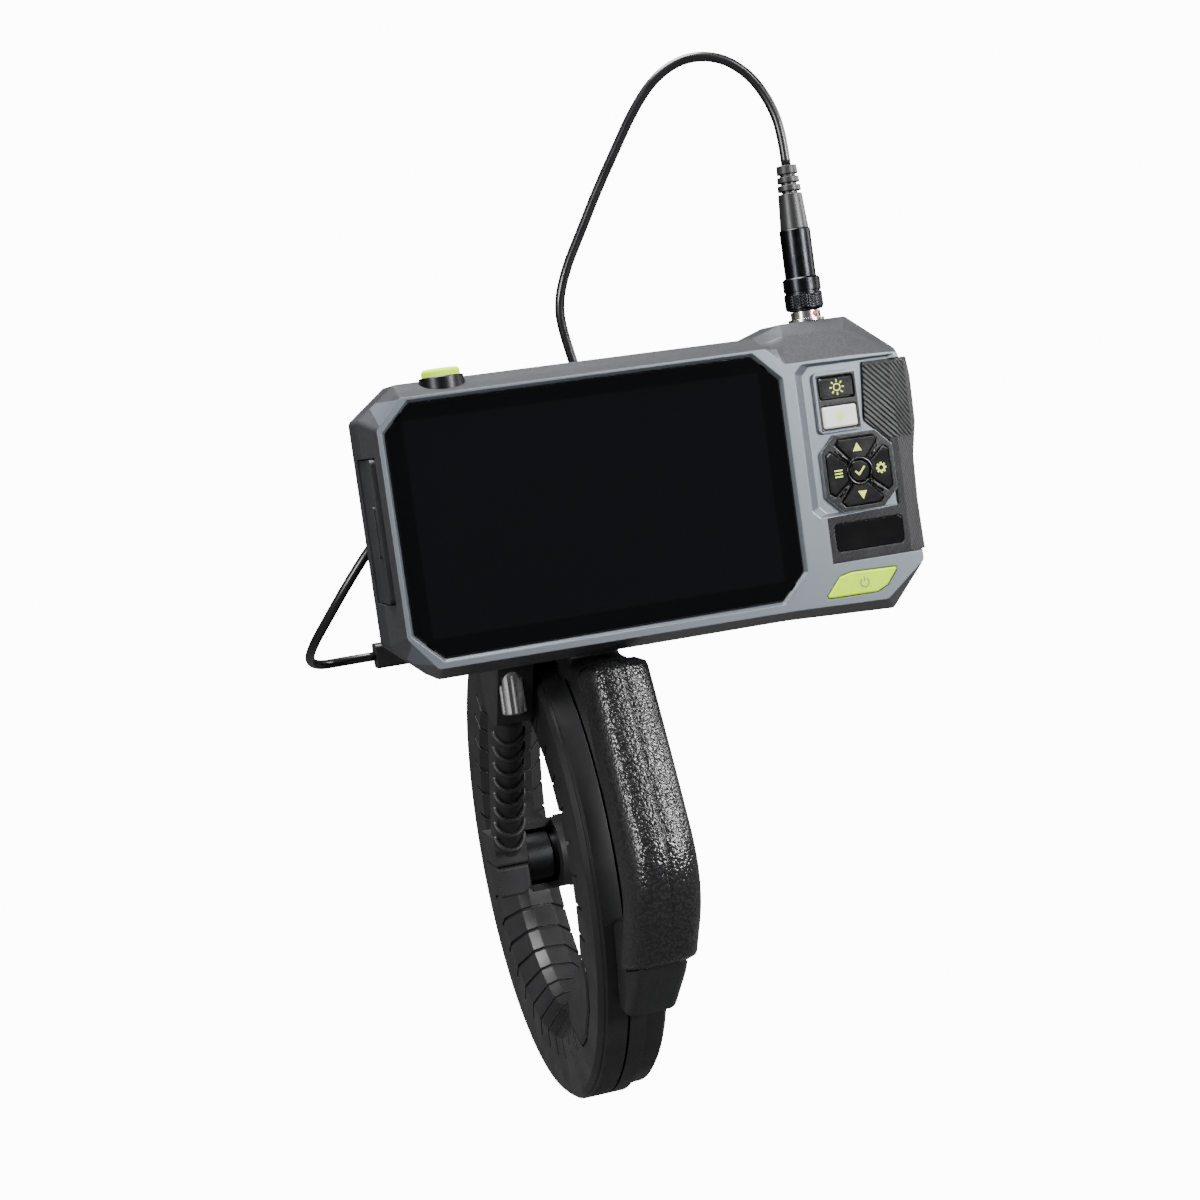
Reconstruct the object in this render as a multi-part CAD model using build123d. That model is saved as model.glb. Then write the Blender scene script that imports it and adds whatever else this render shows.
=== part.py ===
from build123d import *
import math
import os

# Pipe-inspection camera: a rugged monitor on a ring-shaped hand reel with a D-grip.
# Sizes are in millimetres. Everything is drawn about the reel's centre, with X along the
# reel's axle to the user's right, Y away from the user and Z up. save() then moves each
# piece, so that the row's origin is the middle of the grip, where a hand holds it.

GRIP_X, GRIP_Y, GRIP_Z = 2.6, -112.0, 32.0       # middle of the hand grip
MON_X, MON_Y, MON_Z = 2.2, -107.4, 121.4         # middle of the screen glass's front

# ---- reel ----
REEL_R = 84.0            # outer radius of the drum
REEL_HALF = 11.75        # half of its width
BAND_R = 82.4            # radius of the stepped band on the right shell
BAND_X = 3.75            # where that band starts
SEAM_X = -2.0            # the two shells meet here
LIP_GAP = 0.4            # half of the slit in the rim that the push cable leaves by
WALL = 2.2               # shell thickness
FACE_R = 63.0            # inner edge of each side face
WAIST_R = 54.8           # smallest radius of the inner wall, where the fingers go
FACET_R, FACET_X = 56.0, 6.0
GROOVES = 40
# leaf-shaped finger pad, flush with the left face and reaching in over the inner wall, as (y, z)
PAD_LEAF = [(-62.5, -22.5), (-46.5, -31.5), (-34.0, -42.5), (-31.5, -51.0), (-44.6, -56.0), (-52.0, -51.5),
            (-61.5, -39.0), (-64.0, -30.0)]
PAD_X_IN, PAD_X_OUT = -5.5, -12.2
GROOVE_WIDTH, GROOVE_DEPTH, GROOVE_OUT_R = 1.3, 0.9, 70.0

# ---- hub ----
AXLE_R = 3.0
AXLE_LEFT, AXLE_RIGHT = -21.0, 6.9
RUNNING = 0.05           # radial clearance of a shaft that turns in its hole
RING_R = 8.6             # slip ring body
YOKE_IN, YOKE_OUT = 9.9, 12.2
BUSH_R = 5.0
CLAMP = dict(x0=-24.4, x1=-13.3, y0=-10.0, y1=9.0, half=10.5)

# ---- arm from the hub to the head ----
ARM_LEFT, ARM_RIGHT = -23.6, -14.2
ARM_ANGLE = 30.0         # leans towards the user
ARM_HALF = 9.0           # half of its depth
ARM_TOP = 77.0
ARM_RIBS, ARM_PITCH = 8, 6.4
SCREW_X, SCREW_Y = ARM_LEFT + 3.3, -53.0         # clamp screw in the bracket on the arm's top

# ---- handle ----
CORE_HALF = 8.8          # half width of the hard core and foot
SLIM_HALF = 5.0          # half width of the core inside the sleeve
GRIP_WIDTH = 22.0
RIM_GAP = 1.5            # foot to rim

# ---- head ----
HEAD_IN, HEAD_OUT = 87.0, 104.0
HEAD_FAR, HEAD_NEAR = 66.0, 124.0     # angles of its two ends about the reel's axle
HEAD_LEFT, HEAD_RIGHT = -13.0, 14.0
HEAD_WALL = 2.6

# ---- tilt hinge ----
HINGE_Y, HINGE_Z = -64.0, 121.4
KNUCKLE_R, PIN_R = 6.0, 2.5
MIDDLE_KNUCKLE = (-3.0, 8.0)
KNUCKLE_GAP, SIDE_KNUCKLE = 0.3, 5.5
KNOB_R, KNOB_LONG, KNOB_LOBES = 8.0, 10.0, 10

# ---- monitor, in its own frame: glass front centre at 0, Y into the case ----
GLASS_W, GLASS_H, GLASS_CUT, GLASS_T = 121.0, 74.2, 8.0, 1.2
FRONT_Y, SHOULDER_Y, WIDE_Y, BACK_Y = -1.0, 5.0, 11.0, 31.0
PARTING_Y, SEAM_Y = 11.7, 0.35           # where the front case ends, and its gap to the rear case
# corners of the case at the front ridge, at the shoulder and at its widest, as (x, z)
FRONT = [(-62.8, -30.0), (-62.8, 30.7), (-54.6, 38.9), (57.2, 38.9), (62.9, 33.6), (84.0, 33.6),
         (99.8, 33.0), (99.8, -31.5), (86.5, -41.6), (57.0, -40.6), (-55.0, -40.0)]
SHOULDER = [(-64.4, -31.6), (-64.4, 32.3), (-54.2, 40.8), (57.6, 40.6), (65.6, 42.2), (85.4, 42.2),
            (102.0, 33.6), (102.0, -32.5), (89.6, -43.8), (57.0, -42.6), (-54.2, -42.2)]
WIDEST = [(-66.0, -33.0), (-66.0, 34.0), (-53.9, 43.2), (58.0, 42.8), (67.6, 46.0), (88.9, 46.0),
          (104.4, 34.0), (104.4, -33.4), (93.0, -46.0), (57.0, -44.4), (-53.5, -44.2)]
CASE_WALL = 2.5
PORT_IN = -53.0          # inner end of the block of side sockets

# ---- keys, in the monitor's frame ----
KEY_FRONT = -1.3         # how far the keys stand forward
KEY_BACK = 3.6
KEY_GAP = 0.25
PANEL_Y = 0.2            # bottom of the shallow key panel, whose sides slope
PANEL_OUTER = [(65.4, -11.6), (65.4, 30.4), (67.8, 32.8), (98.0, 32.4), (98.0, -14.0), (67.8, -14.0)]
PANEL_INNER = [(68.2, -10.6), (68.2, 29.4), (70.6, 31.8), (96.5, 31.8), (96.5, -13.0), (70.6, -13.0)]
MAT_Y = (4.7, 5.9)       # silicone sheet behind the keys
PAD_X, PAD_Z, PAD_HALF, PAD_CUT = 82.4, -1.4, 10.9, 4.6     # direction pad
OK_R = 3.4
POWER = [(65.9, -38.7), (71.4, -32.3), (75.6, -31.4), (91.4, -31.9), (86.8, -37.4), (83.2, -39.0)]

BUTTON_X, BUTTON_Y = -40.0, 9.0          # capture button, on the top wall

# ---- plug on the turret, in the monitor's frame ----
PLUG_X, PLUG_Y = 78.3, 16.0
SOCKET_R, SOCKET_TOP = 4.6, 49.2
SLEEVE_R, SLEEVE_Z = 5.8, (49.6, 59.6)
BARREL_R, BARREL_Z = 4.8, (49.4, 74.5)
BOOT_TOP, BOOT_R, BOOT_TIP_R = 94.0, 4.4, 3.1

# ---- jumper lead from the head to the plug, as points in the monitor's frame ----
LEAD_D = 3.0
LEAD_ROUTE = [(78.3, 16.0, 94.0), (78.3, 16.0, 104.5), (76.0, 17.2, 114.5), (70.8, 18.7, 123.8),
              (62.5, 20.9, 130.0), (52.2, 23.8, 130.9), (43.0, 26.6, 126.0), (35.8, 29.2, 117.2),
              (29.2, 31.8, 106.2), (22.6, 34.2, 95.2), (16.4, 36.6, 83.6), (9.9, 38.6, 72.0),
              (6.4, 40.0, 61.0), (7.8, 41.2, 50.6), (10.2, 42.2, 40.6), (8.4, 43.0, 30.4),
              (1.8, 43.6, 21.6), (-8.6, 43.8, 17.0), (-20.6, 43.8, 16.2), (-32.2, 43.6, 14.4),
              (-43.0, 43.4, 10.4), (-52.8, 43.4, 4.2), (-61.8, 43.8, -3.6), (-69.8, 46.4, -13.4),
              (-77.0, 50.8, -23.6), (-82.2, 57.6, -32.0), (-83.4, 67.2, -37.6), (-79.4, 75.6, -40.6),
              (-70.8, 80.8, -41.0), (-60.0, 80.8, -41.0)]
LEAD_CUT = 1.1           # half of the clearance between the lead's two lengths at the tilt hinge

# ---- push cable and camera head ----
CABLE_R = 2.5
PROBE_R, PROBE_LONG, PROBE_Y, PROBE_Z = 3.8, 38.0, 50.3, 93.0
NOZZLE_X = -2.0
PULL = 20.0              # how far the camera head is drawn out of its seat


# ---------------------------------------------------------------- helpers
def save(name, piece, in_monitor=False):
    shift = Pos(MON_X, MON_Y, MON_Z) if in_monitor else Pos(0, 0, 0)
    placed = Pos(-GRIP_X, -GRIP_Y, -GRIP_Z) * shift * piece
    export_step(placed, f"parts/{name}.step")


def block(x0, x1, y0, y1, z0, z1):
    middle = Pos((x0 + x1) / 2, (y0 + y1) / 2, (z0 + z1) / 2)
    return middle * Box(x1 - x0, y1 - y0, z1 - z0)


def rod_x(radius, x0, x1, y=0.0, z=0.0):
    return Pos((x0 + x1) / 2, y, z) * Rot(0, 90, 0) * Cylinder(radius, x1 - x0)


def rod_y(radius, y0, y1, x=0.0, z=0.0):
    return Pos(x, (y0 + y1) / 2, z) * Rot(90, 0, 0) * Cylinder(radius, y1 - y0)


def rod_z(radius, z0, z1, x=0.0, y=0.0):
    return Pos(x, y, (z0 + z1) / 2) * Cylinder(radius, z1 - z0)


def turned_x(outline):
    """A solid of revolution about the reel's axle from (x, radius) corners."""
    return revolve(make_face(Polyline(*outline, close=True)), Axis.X)


def flat(outline, radius=0.0):
    """A face from (u, v) corners, with every corner rounded if a radius is given."""
    if radius == 0:
        return make_face(Polyline(*outline, close=True))
    return make_face(FilletPolyline(*outline, radius=radius, close=True))


def plate_xz(outline, y0, y1, radius=0.0):
    """(x, z) corners, as deep as y0 to y1."""
    return Pos(0, y1, 0) * extrude(Plane.XZ * flat(outline, radius), y1 - y0)


def plate_yz(outline, x0, x1, radius=0.0):
    """(y, z) corners, as wide as x0 to x1."""
    return Pos(x0, 0, 0) * extrude(Plane.YZ * flat(outline, radius), x1 - x0)


def rounded_xz(x0, x1, z0, z1, y0, y1, radius):
    return plate_xz([(x0, z0), (x1, z0), (x1, z1), (x0, z1)], y0, y1, radius)


def polar(radius, degrees):
    """(y, z) of a point about the reel's axle; 0 degrees is away from the user."""
    turn = math.radians(degrees)
    return radius * math.cos(turn), radius * math.sin(turn)


def sector(r0, r1, a0, a1, x0, x1):
    """Part of a ring about the reel's axle."""
    outer = CenterArc((0, 0), r1, a0, a1 - a0)
    inner = CenterArc((0, 0), r0, a0, a1 - a0)
    sides = [Line(inner @ 0, outer @ 0), Line(inner @ 1, outer @ 1)]
    return Pos(x0, 0, 0) * extrude(Plane.YZ * make_face([outer, inner] + sides), x1 - x0)


def screws(places, head_r, head_t, shank_r, shank_long, turn=Rot(0, 0, 0)):
    """Cross-recess screws whose heads face local +Z at each place."""
    slot = Box(head_r * 1.2, 0.5, 0.8) + Box(0.5, head_r * 1.2, 0.8)
    screw = rod_z(head_r, 0, head_t) + rod_z(shank_r, -shank_long, 0.1) - Pos(0, 0, head_t) * slot
    return Compound([Pos(*place) * turn * screw for place in places])


# ---------------------------------------------------------------- reel
def reel_wall():
    """Everything outside the drum's inner wall, used to trim what meets it."""
    return turned_x([(-REEL_HALF, FACE_R), (-FACET_X, FACET_R), (SEAM_X, WAIST_R), (FACET_X, FACET_R),
                     (REEL_HALF, FACE_R), (REEL_HALF, FACE_R + 9), (-REEL_HALF, FACE_R + 9)])


def finger_grooves():
    """Radial slots across the inner wall that run out onto both side faces."""
    side = REEL_HALF + 1
    deep = REEL_HALF - GROOVE_DEPTH
    section = [(-side, WAIST_R - 5), (side, WAIST_R - 5), (side, GROOVE_OUT_R), (deep, GROOVE_OUT_R),
               (deep, FACE_R + 0.4), (FACET_X - 0.3, FACET_R + GROOVE_DEPTH),
               (SEAM_X, WAIST_R + GROOVE_DEPTH), (-FACET_X + 0.3, FACET_R + GROOVE_DEPTH),
               (-deep, FACE_R + 0.4), (-deep, GROOVE_OUT_R), (-side, GROOVE_OUT_R)]
    fin = extrude(Plane.XZ * flat(section), GROOVE_WIDTH / 2, both=True)
    return [Rot(360 / GROOVES * (k + 0.5), 0, 0) * fin for k in range(GROOVES)]


def shell_left():
    lip = SEAM_X - LIP_GAP
    return turned_x([
        (lip, REEL_R), (-9.2, REEL_R), (-9.6, REEL_R - 0.7), (-10.3, REEL_R - 0.8),
        (-REEL_HALF, REEL_R - 2.4), (-REEL_HALF, FACE_R), (-FACET_X, FACET_R), (SEAM_X, WAIST_R),
        (SEAM_X, WAIST_R + WALL), (-FACET_X + 0.8, FACET_R + WALL), (-REEL_HALF + WALL, FACE_R + 0.8),
        (-REEL_HALF + WALL, REEL_R - 3.4), (-8.6, REEL_R - WALL), (lip, REEL_R - WALL)])


def finger_pad():
    pad = plate_yz(PAD_LEAF, PAD_X_OUT, PAD_X_IN, 3.0)
    pad = fillet(pad.faces().sort_by(Axis.X)[0].edges(), 1.4)
    wall_x = -REEL_HALF + WALL - 0.2
    room = turned_x([(wall_x, FACE_R + 0.8), (wall_x, REEL_R), (0, REEL_R), (0, WAIST_R + WALL),
                     (-FACET_X + 0.7, FACET_R + WALL)])
    return pad - room


def pad_groove():
    """Narrow groove in the left face along the pad's outer edge."""
    leaf = flat(PAD_LEAF, 3.0)
    wider = offset(leaf, 0.8, kind=Kind.INTERSECTION)
    return Pos(-REEL_HALF - 1, 0, 0) * extrude(Plane.YZ * (wider - leaf), 1.7)


def shell_right():
    lip = SEAM_X + LIP_GAP
    return turned_x([
        (lip, REEL_R), (BAND_X, REEL_R), (BAND_X + 0.35, BAND_R), (10.4, BAND_R - 0.2),
        (REEL_HALF, BAND_R - 1.8), (REEL_HALF, FACE_R), (FACET_X, FACET_R), (SEAM_X, WAIST_R),
        (SEAM_X, WAIST_R + WALL), (FACET_X - 0.8, FACET_R + WALL), (REEL_HALF - WALL, FACE_R + 0.8),
        (REEL_HALF - WALL, BAND_R - 3.0), (9.0, BAND_R - WALL), (3.0, BAND_R - WALL),
        (2.6, REEL_R - WALL), (lip, REEL_R - WALL)])


REEL_SCREWS = [polar(76.5, 30 + 60 * k) for k in range(6)]


def reel_screw_holes():
    return [rod_x(2.3, 10.6, 13, y, z) + rod_x(1.1, 8, 12, y, z) for y, z in REEL_SCREWS]


def reel_screws():
    places = [(10.6, y, z) for y, z in REEL_SCREWS]
    return screws(places, 2.2, 1.0, 1.05, 1.9, Rot(0, 90, 0))


def cable_coil():
    """The wound push cable as one ring; it fills three turns by four inside the drum."""
    return turned_x([(-7.4, 62.0), (7.4, 62.0), (7.4, 78.4), (5.4, 79.4), (-5.4, 79.4), (-7.4, 78.4)])


# ---------------------------------------------------------------- hub
def reel_hub():
    """Yoke round the slip ring, with a spoke out to the drum's far wall."""
    round_part = rod_x(YOKE_OUT, -11.4, 1.5)
    spoke = plate_yz([(4, -8), (30, -9), (WAIST_R + 4, -14), (WAIST_R + 4, 14), (30, 9), (4, 8)], -7.6, 1.4)
    lightening = plate_yz([(17, -4.6), (44, -6.4), (44, 6.4), (17, 4.6)], -8, -3.0, 2.0)
    hub = round_part + spoke - lightening - reel_wall()
    hub -= rod_x(YOKE_IN, -12, -1.8) + block(-12, -1.8, -13, -2, -13, 13)
    return hub - rod_x(BUSH_R, -3, 2)


def hub_plate():
    plate = plate_yz([(-7, -9), (-4, -12), (9, -12), (9, 11.4), (3, 11.4), (1, 9.6), (-3, 11.4),
                      (-7, 8.4)], 1.5, 4.4, 0.8)
    return plate - rod_x(BUSH_R, 1, 5)


def hub_bush():
    return rod_x(BUSH_R, -1.8, 4.4) - rod_x(AXLE_R + RUNNING, -2, 5)


def hub_axle():
    head = rod_x(4.3, 4.8, AXLE_RIGHT)
    return rod_x(AXLE_R, AXLE_LEFT, 4.9) + chamfer(head.edges().sort_by(Axis.X)[-1], 0.5)


def slip_ring_body():
    body = fillet(rod_x(RING_R, -13.3, -3.8).edges().filter_by(GeomType.CIRCLE), 0.6)
    return body - rod_x(AXLE_R, -14, -3)


def slip_ring_disc():
    return rod_x(7.4, -3.4, -1.8) - rod_x(AXLE_R + 0.2, -4, -1)


# ---------------------------------------------------------------- arm
def along_arm(distance, across):
    """(y, z) at a distance up the arm, and across it towards the far side."""
    lean = math.radians(ARM_ANGLE)
    return (-distance * math.sin(lean) + across * math.cos(lean),
            distance * math.cos(lean) + across * math.sin(lean))


def reel_arm():
    """Ribbed arm, with the upper half of the axle clamp at its foot."""
    corners = [along_arm(6, -ARM_HALF + 2), along_arm(6, ARM_HALF - 3), along_arm(ARM_TOP, ARM_HALF),
               along_arm(ARM_TOP, -ARM_HALF)]
    arm = plate_yz(corners, ARM_LEFT, ARM_RIGHT)
    arm = fillet(arm.edges().filter_by(lambda e: abs((e % 0.5).X) < 0.1 and e.length > 40), 4.2)
    middle = (ARM_LEFT + ARM_RIGHT) / 2
    rib = Box(12, 7.6, 0.6) - Box(8.0, 6.6, 1)
    for k in range(ARM_RIBS):
        y, z = along_arm(14 + ARM_PITCH * k, -ARM_HALF)
        arm -= Pos(middle, y, z) * Rot(-ARM_ANGLE + 180, 0, 0) * rib
    c = CLAMP
    foot = block(c["x0"], c["x1"], c["y0"], c["y1"], 0.2, c["half"])
    foot = fillet(foot.edges().filter_by(Axis.X), 1.0)
    return arm + foot - rod_x(AXLE_R, AXLE_LEFT, -10)


def hub_clamp():
    """Lower half of the axle clamp, with a rounded nose towards the drum."""
    c = CLAMP
    body = block(c["x0"], c["x1"], c["y0"], c["y1"], -c["half"], -0.2)
    body = fillet(body.edges().filter_by(Axis.Y).sort_by(Axis.X)[-1], 4.0)
    body = fillet(body.edges().filter_by(Axis.X), 1.0)
    return body - rod_x(AXLE_R, AXLE_LEFT, -10)


def arm_socket():
    """Bracket that the head holds the arm's top in; its lower corners are cut off."""
    outline = [along_arm(ARM_TOP - 9, -ARM_HALF - 2.6), along_arm(ARM_TOP - 12, -ARM_HALF + 3),
               along_arm(ARM_TOP - 12, ARM_HALF - 2), along_arm(ARM_TOP - 7, ARM_HALF + 4),
               (-14, 90), (-14, 99), (-40, 101), (-62, 92), (-62, 78)]
    body = plate_yz(outline, ARM_LEFT - 1.2, HEAD_LEFT, 1.2)
    seat = plate_yz([along_arm(ARM_TOP - 14, -ARM_HALF), along_arm(ARM_TOP - 14, ARM_HALF),
                     along_arm(ARM_TOP, ARM_HALF), along_arm(ARM_TOP, -ARM_HALF)], ARM_LEFT, ARM_RIGHT)
    return body - seat - screw_pocket()


def screw_pocket():
    return rod_z(4.2, 40, 72, SCREW_X, SCREW_Y)


def arm_thumbscrew():
    """Fluted clamp screw that shows under the bracket."""
    body = rod_z(3.9, 57.5, 71.6, SCREW_X, SCREW_Y)
    for k in range(6):
        turn = math.radians(60 * k + 20)
        body -= rod_z(1.1, 56, 70, SCREW_X + 4.3 * math.cos(turn), SCREW_Y + 4.3 * math.sin(turn))
    return chamfer(body.edges().group_by(Axis.Z)[0], 0.35)


# ---------------------------------------------------------------- handle
CORE = [(-76.6, -38.2), (-84.5, -38.4), (-101.0, -24.0), (-113.0, -9.0), (-124.0, 9.5), (-117.2, 33.0),
        (-103.0, 68.0), (-99.0, 72.4), (-74.0, 74.6), (-73.0, 90.0), (-58.0, 92.0), (-57.0, 66.5),
        (-82.0, 65.5), (-92.0, 60.0), (-102.6, 33.0), (-108.4, 9.0), (-104.4, -3.0), (-94.0, -8.0),
        (-80.0, -6.0)]
SLEEVE = [(-104.4, 75.6), (-130.6, 9.0), (-111.0, -17.2), (-88.6, -22.8), (-106.0, 6.0), (-85.0, 71.6)]
SLEEVE_RADII = [3.0, 22.0, 4.0, 2.5, 14.0, 3.0]


def sleeve_blank(x0, x1):
    """The sleeve's side outline, between two planes across the grip."""
    outline = FilletPolyline(*SLEEVE, radius=SLEEVE_RADII, close=True)
    return Pos(x0, 0, 0) * extrude(Plane.YZ * make_face(outline), x1 - x0)


def handle_core():
    """C-shaped moulding: foot at the rim, slim core in the sleeve, and a neck up to the head."""
    body = plate_yz(CORE, GRIP_X - CORE_HALF, GRIP_X + CORE_HALF, 2.0)
    foot_rims = body.edges().filter_by(lambda e: abs((e % 0.5).X) < 0.1 and -40 < (e @ 0.5).Z < -16
                                       and (e @ 0.5).Z + (e @ 0.5).Y < -100)
    body = fillet(foot_rims, 3.2)
    body -= rod_x(REEL_R + RIM_GAP, -20, 20)
    body -= sleeve_blank(GRIP_X + SLIM_HALF, 30) + sleeve_blank(-30, GRIP_X - SLIM_HALF)
    neck_side = GRIP_X + 6.0
    return body - block(neck_side, 20, -76, -50, 76, 100) - block(-20, GRIP_X - 6.0, -76, -50, 76, 100)


def grip_sleeve():
    """Soft over-moulding: a bent bar, fattest where the heel of the palm sits."""
    half = GRIP_WIDTH / 2
    body = sleeve_blank(GRIP_X - half, GRIP_X + half)
    rims = body.faces().filter_by(lambda f: abs(f.normal_at().X) > 0.9).edges()
    return fillet(rims, 5.6)


# ---------------------------------------------------------------- head
def head_block():
    body = sector(HEAD_IN, HEAD_OUT, HEAD_FAR, HEAD_NEAR, HEAD_LEFT, HEAD_RIGHT)
    long_edges = body.edges().filter_by(GeomType.CIRCLE).filter_by(lambda e: e.radius > 100)
    body = fillet(long_edges, 3.0)
    room = sector(HEAD_IN + HEAD_WALL, HEAD_OUT - HEAD_WALL, HEAD_FAR + 6, HEAD_NEAR - 14,
                  HEAD_LEFT + HEAD_WALL, HEAD_RIGHT - HEAD_WALL)
    return body - room - rod_y(5.0, 20, 50, NOZZLE_X, PROBE_Z)


def tilt_post():
    """Static knuckle of the tilt hinge, on a post that stands on the head."""
    x0, x1 = MIDDLE_KNUCKLE
    post = plate_yz([(-70.0, HINGE_Z), (-71.0, 99.0), (-66.0, 92.0), (-40.0, 94.0), (-46.0, 106.0),
                     (-58.0, HINGE_Z)], x0, x1)
    post = post - sector(60, HEAD_OUT + 0.2, 90, 130, x0 - 1, x1 + 1) + rod_x(KNUCKLE_R, x0, x1, HINGE_Y, HINGE_Z)
    return post - rod_x(PIN_R, x0 - 1, x1 + 1, HINGE_Y, HINGE_Z)


def tilt_pin():
    x0, x1 = MIDDLE_KNUCKLE
    end = x1 + KNUCKLE_GAP + SIDE_KNUCKLE
    start = x0 - KNUCKLE_GAP - SIDE_KNUCKLE
    head = rod_x(4.0, end + 0.3, end + 2.3, HINGE_Y, HINGE_Z)
    return rod_x(PIN_R, start - 6, end + 0.4, HINGE_Y, HINGE_Z) + head


def lock_knob():
    """Lobed knob that clamps the tilt hinge."""
    x1 = MIDDLE_KNUCKLE[0] - KNUCKLE_GAP - SIDE_KNUCKLE - 0.4
    body = rod_x(KNOB_R, x1 - KNOB_LONG, x1, HINGE_Y, HINGE_Z)
    body = fillet(body.edges().filter_by(GeomType.CIRCLE).sort_by(Axis.X)[0], 1.5)
    for k in range(KNOB_LOBES):
        y, z = polar(KNOB_R + 1.0, 360 / KNOB_LOBES * k)
        body -= rod_x(1.8, x1 - KNOB_LONG - 1, x1 - 2, HINGE_Y + y, HINGE_Z + z)
    return body - rod_x(PIN_R + RUNNING, x1 - 6.5, x1 + 1, HINGE_Y, HINGE_Z)


def lead_outlet():
    """Strain relief that carries the jumper lead out to the left of the head."""
    x, y, z = LEAD_ROUTE[-1]
    x, y, z = x + MON_X, y + MON_Y, z + MON_Z
    nose = fillet(block(x, x + 16, y - 4, y + 4, z - 4, z + 4).edges().filter_by(Axis.X), 1.2)
    stem = Pos(x + 16, y, z) * Rot(0, 90, 0) * Cone(2.6, 3.9, ARM_LEFT - 1.2 - x - 16,
                                                  align=(Align.CENTER, Align.CENTER, Align.MIN))
    for k in range(3):
        rib = Pos(x + 19 + 3.4 * k, y, z) * Rot(0, 90, 0) * (Cylinder(5, 1.0) - Cylinder(2.5, 1.0))
        stem -= rib
    return nose + stem


# ---------------------------------------------------------------- camera head and nozzle
def nozzle():
    body = Pos(NOZZLE_X, 44, PROBE_Z) * Rot(-90, 0, 0) * Cone(
        6.4, 5.0, 14, align=(Align.CENTER, Align.CENTER, Align.MIN))
    body += rod_y(5.0, 34, 44, NOZZLE_X, PROBE_Z)
    body -= rod_y(PROBE_R + 0.2, PROBE_Y - 0.3, 60, NOZZLE_X, PROBE_Z)
    return body - rod_y(CABLE_R + RUNNING, 30, 60, NOZZLE_X, PROBE_Z)


def camera_head():
    """Steel capsule with a groove behind its nose for clip-on tools."""
    y0, y1 = PROBE_Y, PROBE_Y + PROBE_LONG
    body = rod_y(PROBE_R, y0, y1, NOZZLE_X, PROBE_Z)
    body = fillet(body.edges().filter_by(GeomType.CIRCLE), 0.5)
    body -= rod_y(PROBE_R + 1, y1 - 7.0, y1 - 6.0, NOZZLE_X, PROBE_Z) - rod_y(
        PROBE_R - 0.4, y1 - 7.0, y1 - 6.0, NOZZLE_X, PROBE_Z)
    return body - rod_y(PROBE_R - 0.7, y1 - 1.0, y1 + 1, NOZZLE_X, PROBE_Z)


def camera_window():
    y1 = PROBE_Y + PROBE_LONG
    return rod_y(PROBE_R - 0.7, y1 - 1.0, y1 - 0.2, NOZZLE_X, PROBE_Z)


def push_cable_end():
    return rod_y(CABLE_R, PROBE_Y - PULL - 4.3, PROBE_Y, NOZZLE_X, PROBE_Z)


# ---------------------------------------------------------------- monitor case
def section_at(outline, y):
    return Pos(0, y, 0) * (Plane.XZ * flat(outline))


def glass_outline(grow=0.0):
    w, h, c = GLASS_W / 2 + grow, GLASS_H / 2 + grow, GLASS_CUT + grow * 0.6
    return [(-w, -h + c), (-w, h - c), (-w + c, h), (w - c, h), (w, h - c), (w, -h + c), (w - c, -h),
            (-w + c, -h)]


GRIP_FACE = [(87.9, 31.2), (86.4, 13.8), (94.2, 6.2), (94.2, -13.4), (70.0, -14.4), (70.0, -28.3),
             (97.0, -28.3), (112.0, -28.3), (112.0, 31.2)]


def side_grip_space(inset=0.0):
    """Room for the rubber grip that wraps round the case's right side."""
    front = plate_xz(GRIP_FACE, -4, 2.6 - inset)
    wrap = block(97.5 + inset, 115, -4, 22 - inset, -28.3, 31.2)
    return front + wrap


def inside(outline):
    """The case's inner outline, about one wall in from an outer one."""
    return [(x * 0.955 + 0.6, z * 0.93) for x, z in outline]


def case_solid():
    front = loft([section_at(FRONT, FRONT_Y), section_at(SHOULDER, SHOULDER_Y)], ruled=True)
    front += loft([section_at(SHOULDER, SHOULDER_Y), section_at(WIDEST, WIDE_Y)], ruled=True)
    rear = plate_xz(WIDEST, WIDE_Y, BACK_Y)
    rear = fillet(rear.faces().sort_by(Axis.Y)[-1].edges(), 3.0)
    whole = front + rear
    upright = whole.edges().filter_by(lambda e: abs((e % 0.5).Y) > 0.8 and e.length > 3)
    outside_corners = upright.filter_by(lambda e: not 55 < (e @ 0.5).X < 63)
    return fillet(outside_corners, 2.0)


def port_recess():
    return block(-72, -63.4, 3.2, 23.0, -20.0, 23.0)


def button_hole():
    """Hole in the top wall for the capture button's collar."""
    return rod_z(6.7, 30, 50, BUTTON_X, BUTTON_Y)


def socket_hole():
    return rod_z(SOCKET_R, 38, 60, PLUG_X, PLUG_Y)


def port_pocket():
    """Way through the side wall for the block of sockets."""
    return block(-64.0, PORT_IN + 0.3, 4.5, 20.2, -17.2, 20.2)


def key_openings():
    """Through openings for the keys, each a little larger than its key."""
    wells = [rounded_xz(72.5, 84.2, 21.2, 28.2, -3, 6, 0.8),
             rounded_xz(72.5, 84.2, 12.2, 19.4, -3, 6, 0.8)]
    wells += [plate_xz(pad_quarter(k), -3, 6) for k in range(4)]
    wells.append(rod_y(OK_R + KEY_GAP, -3, 6, PAD_X, PAD_Z))
    wells.append(plate_xz(POWER, -4, 6, 0.8))
    return wells


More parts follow.
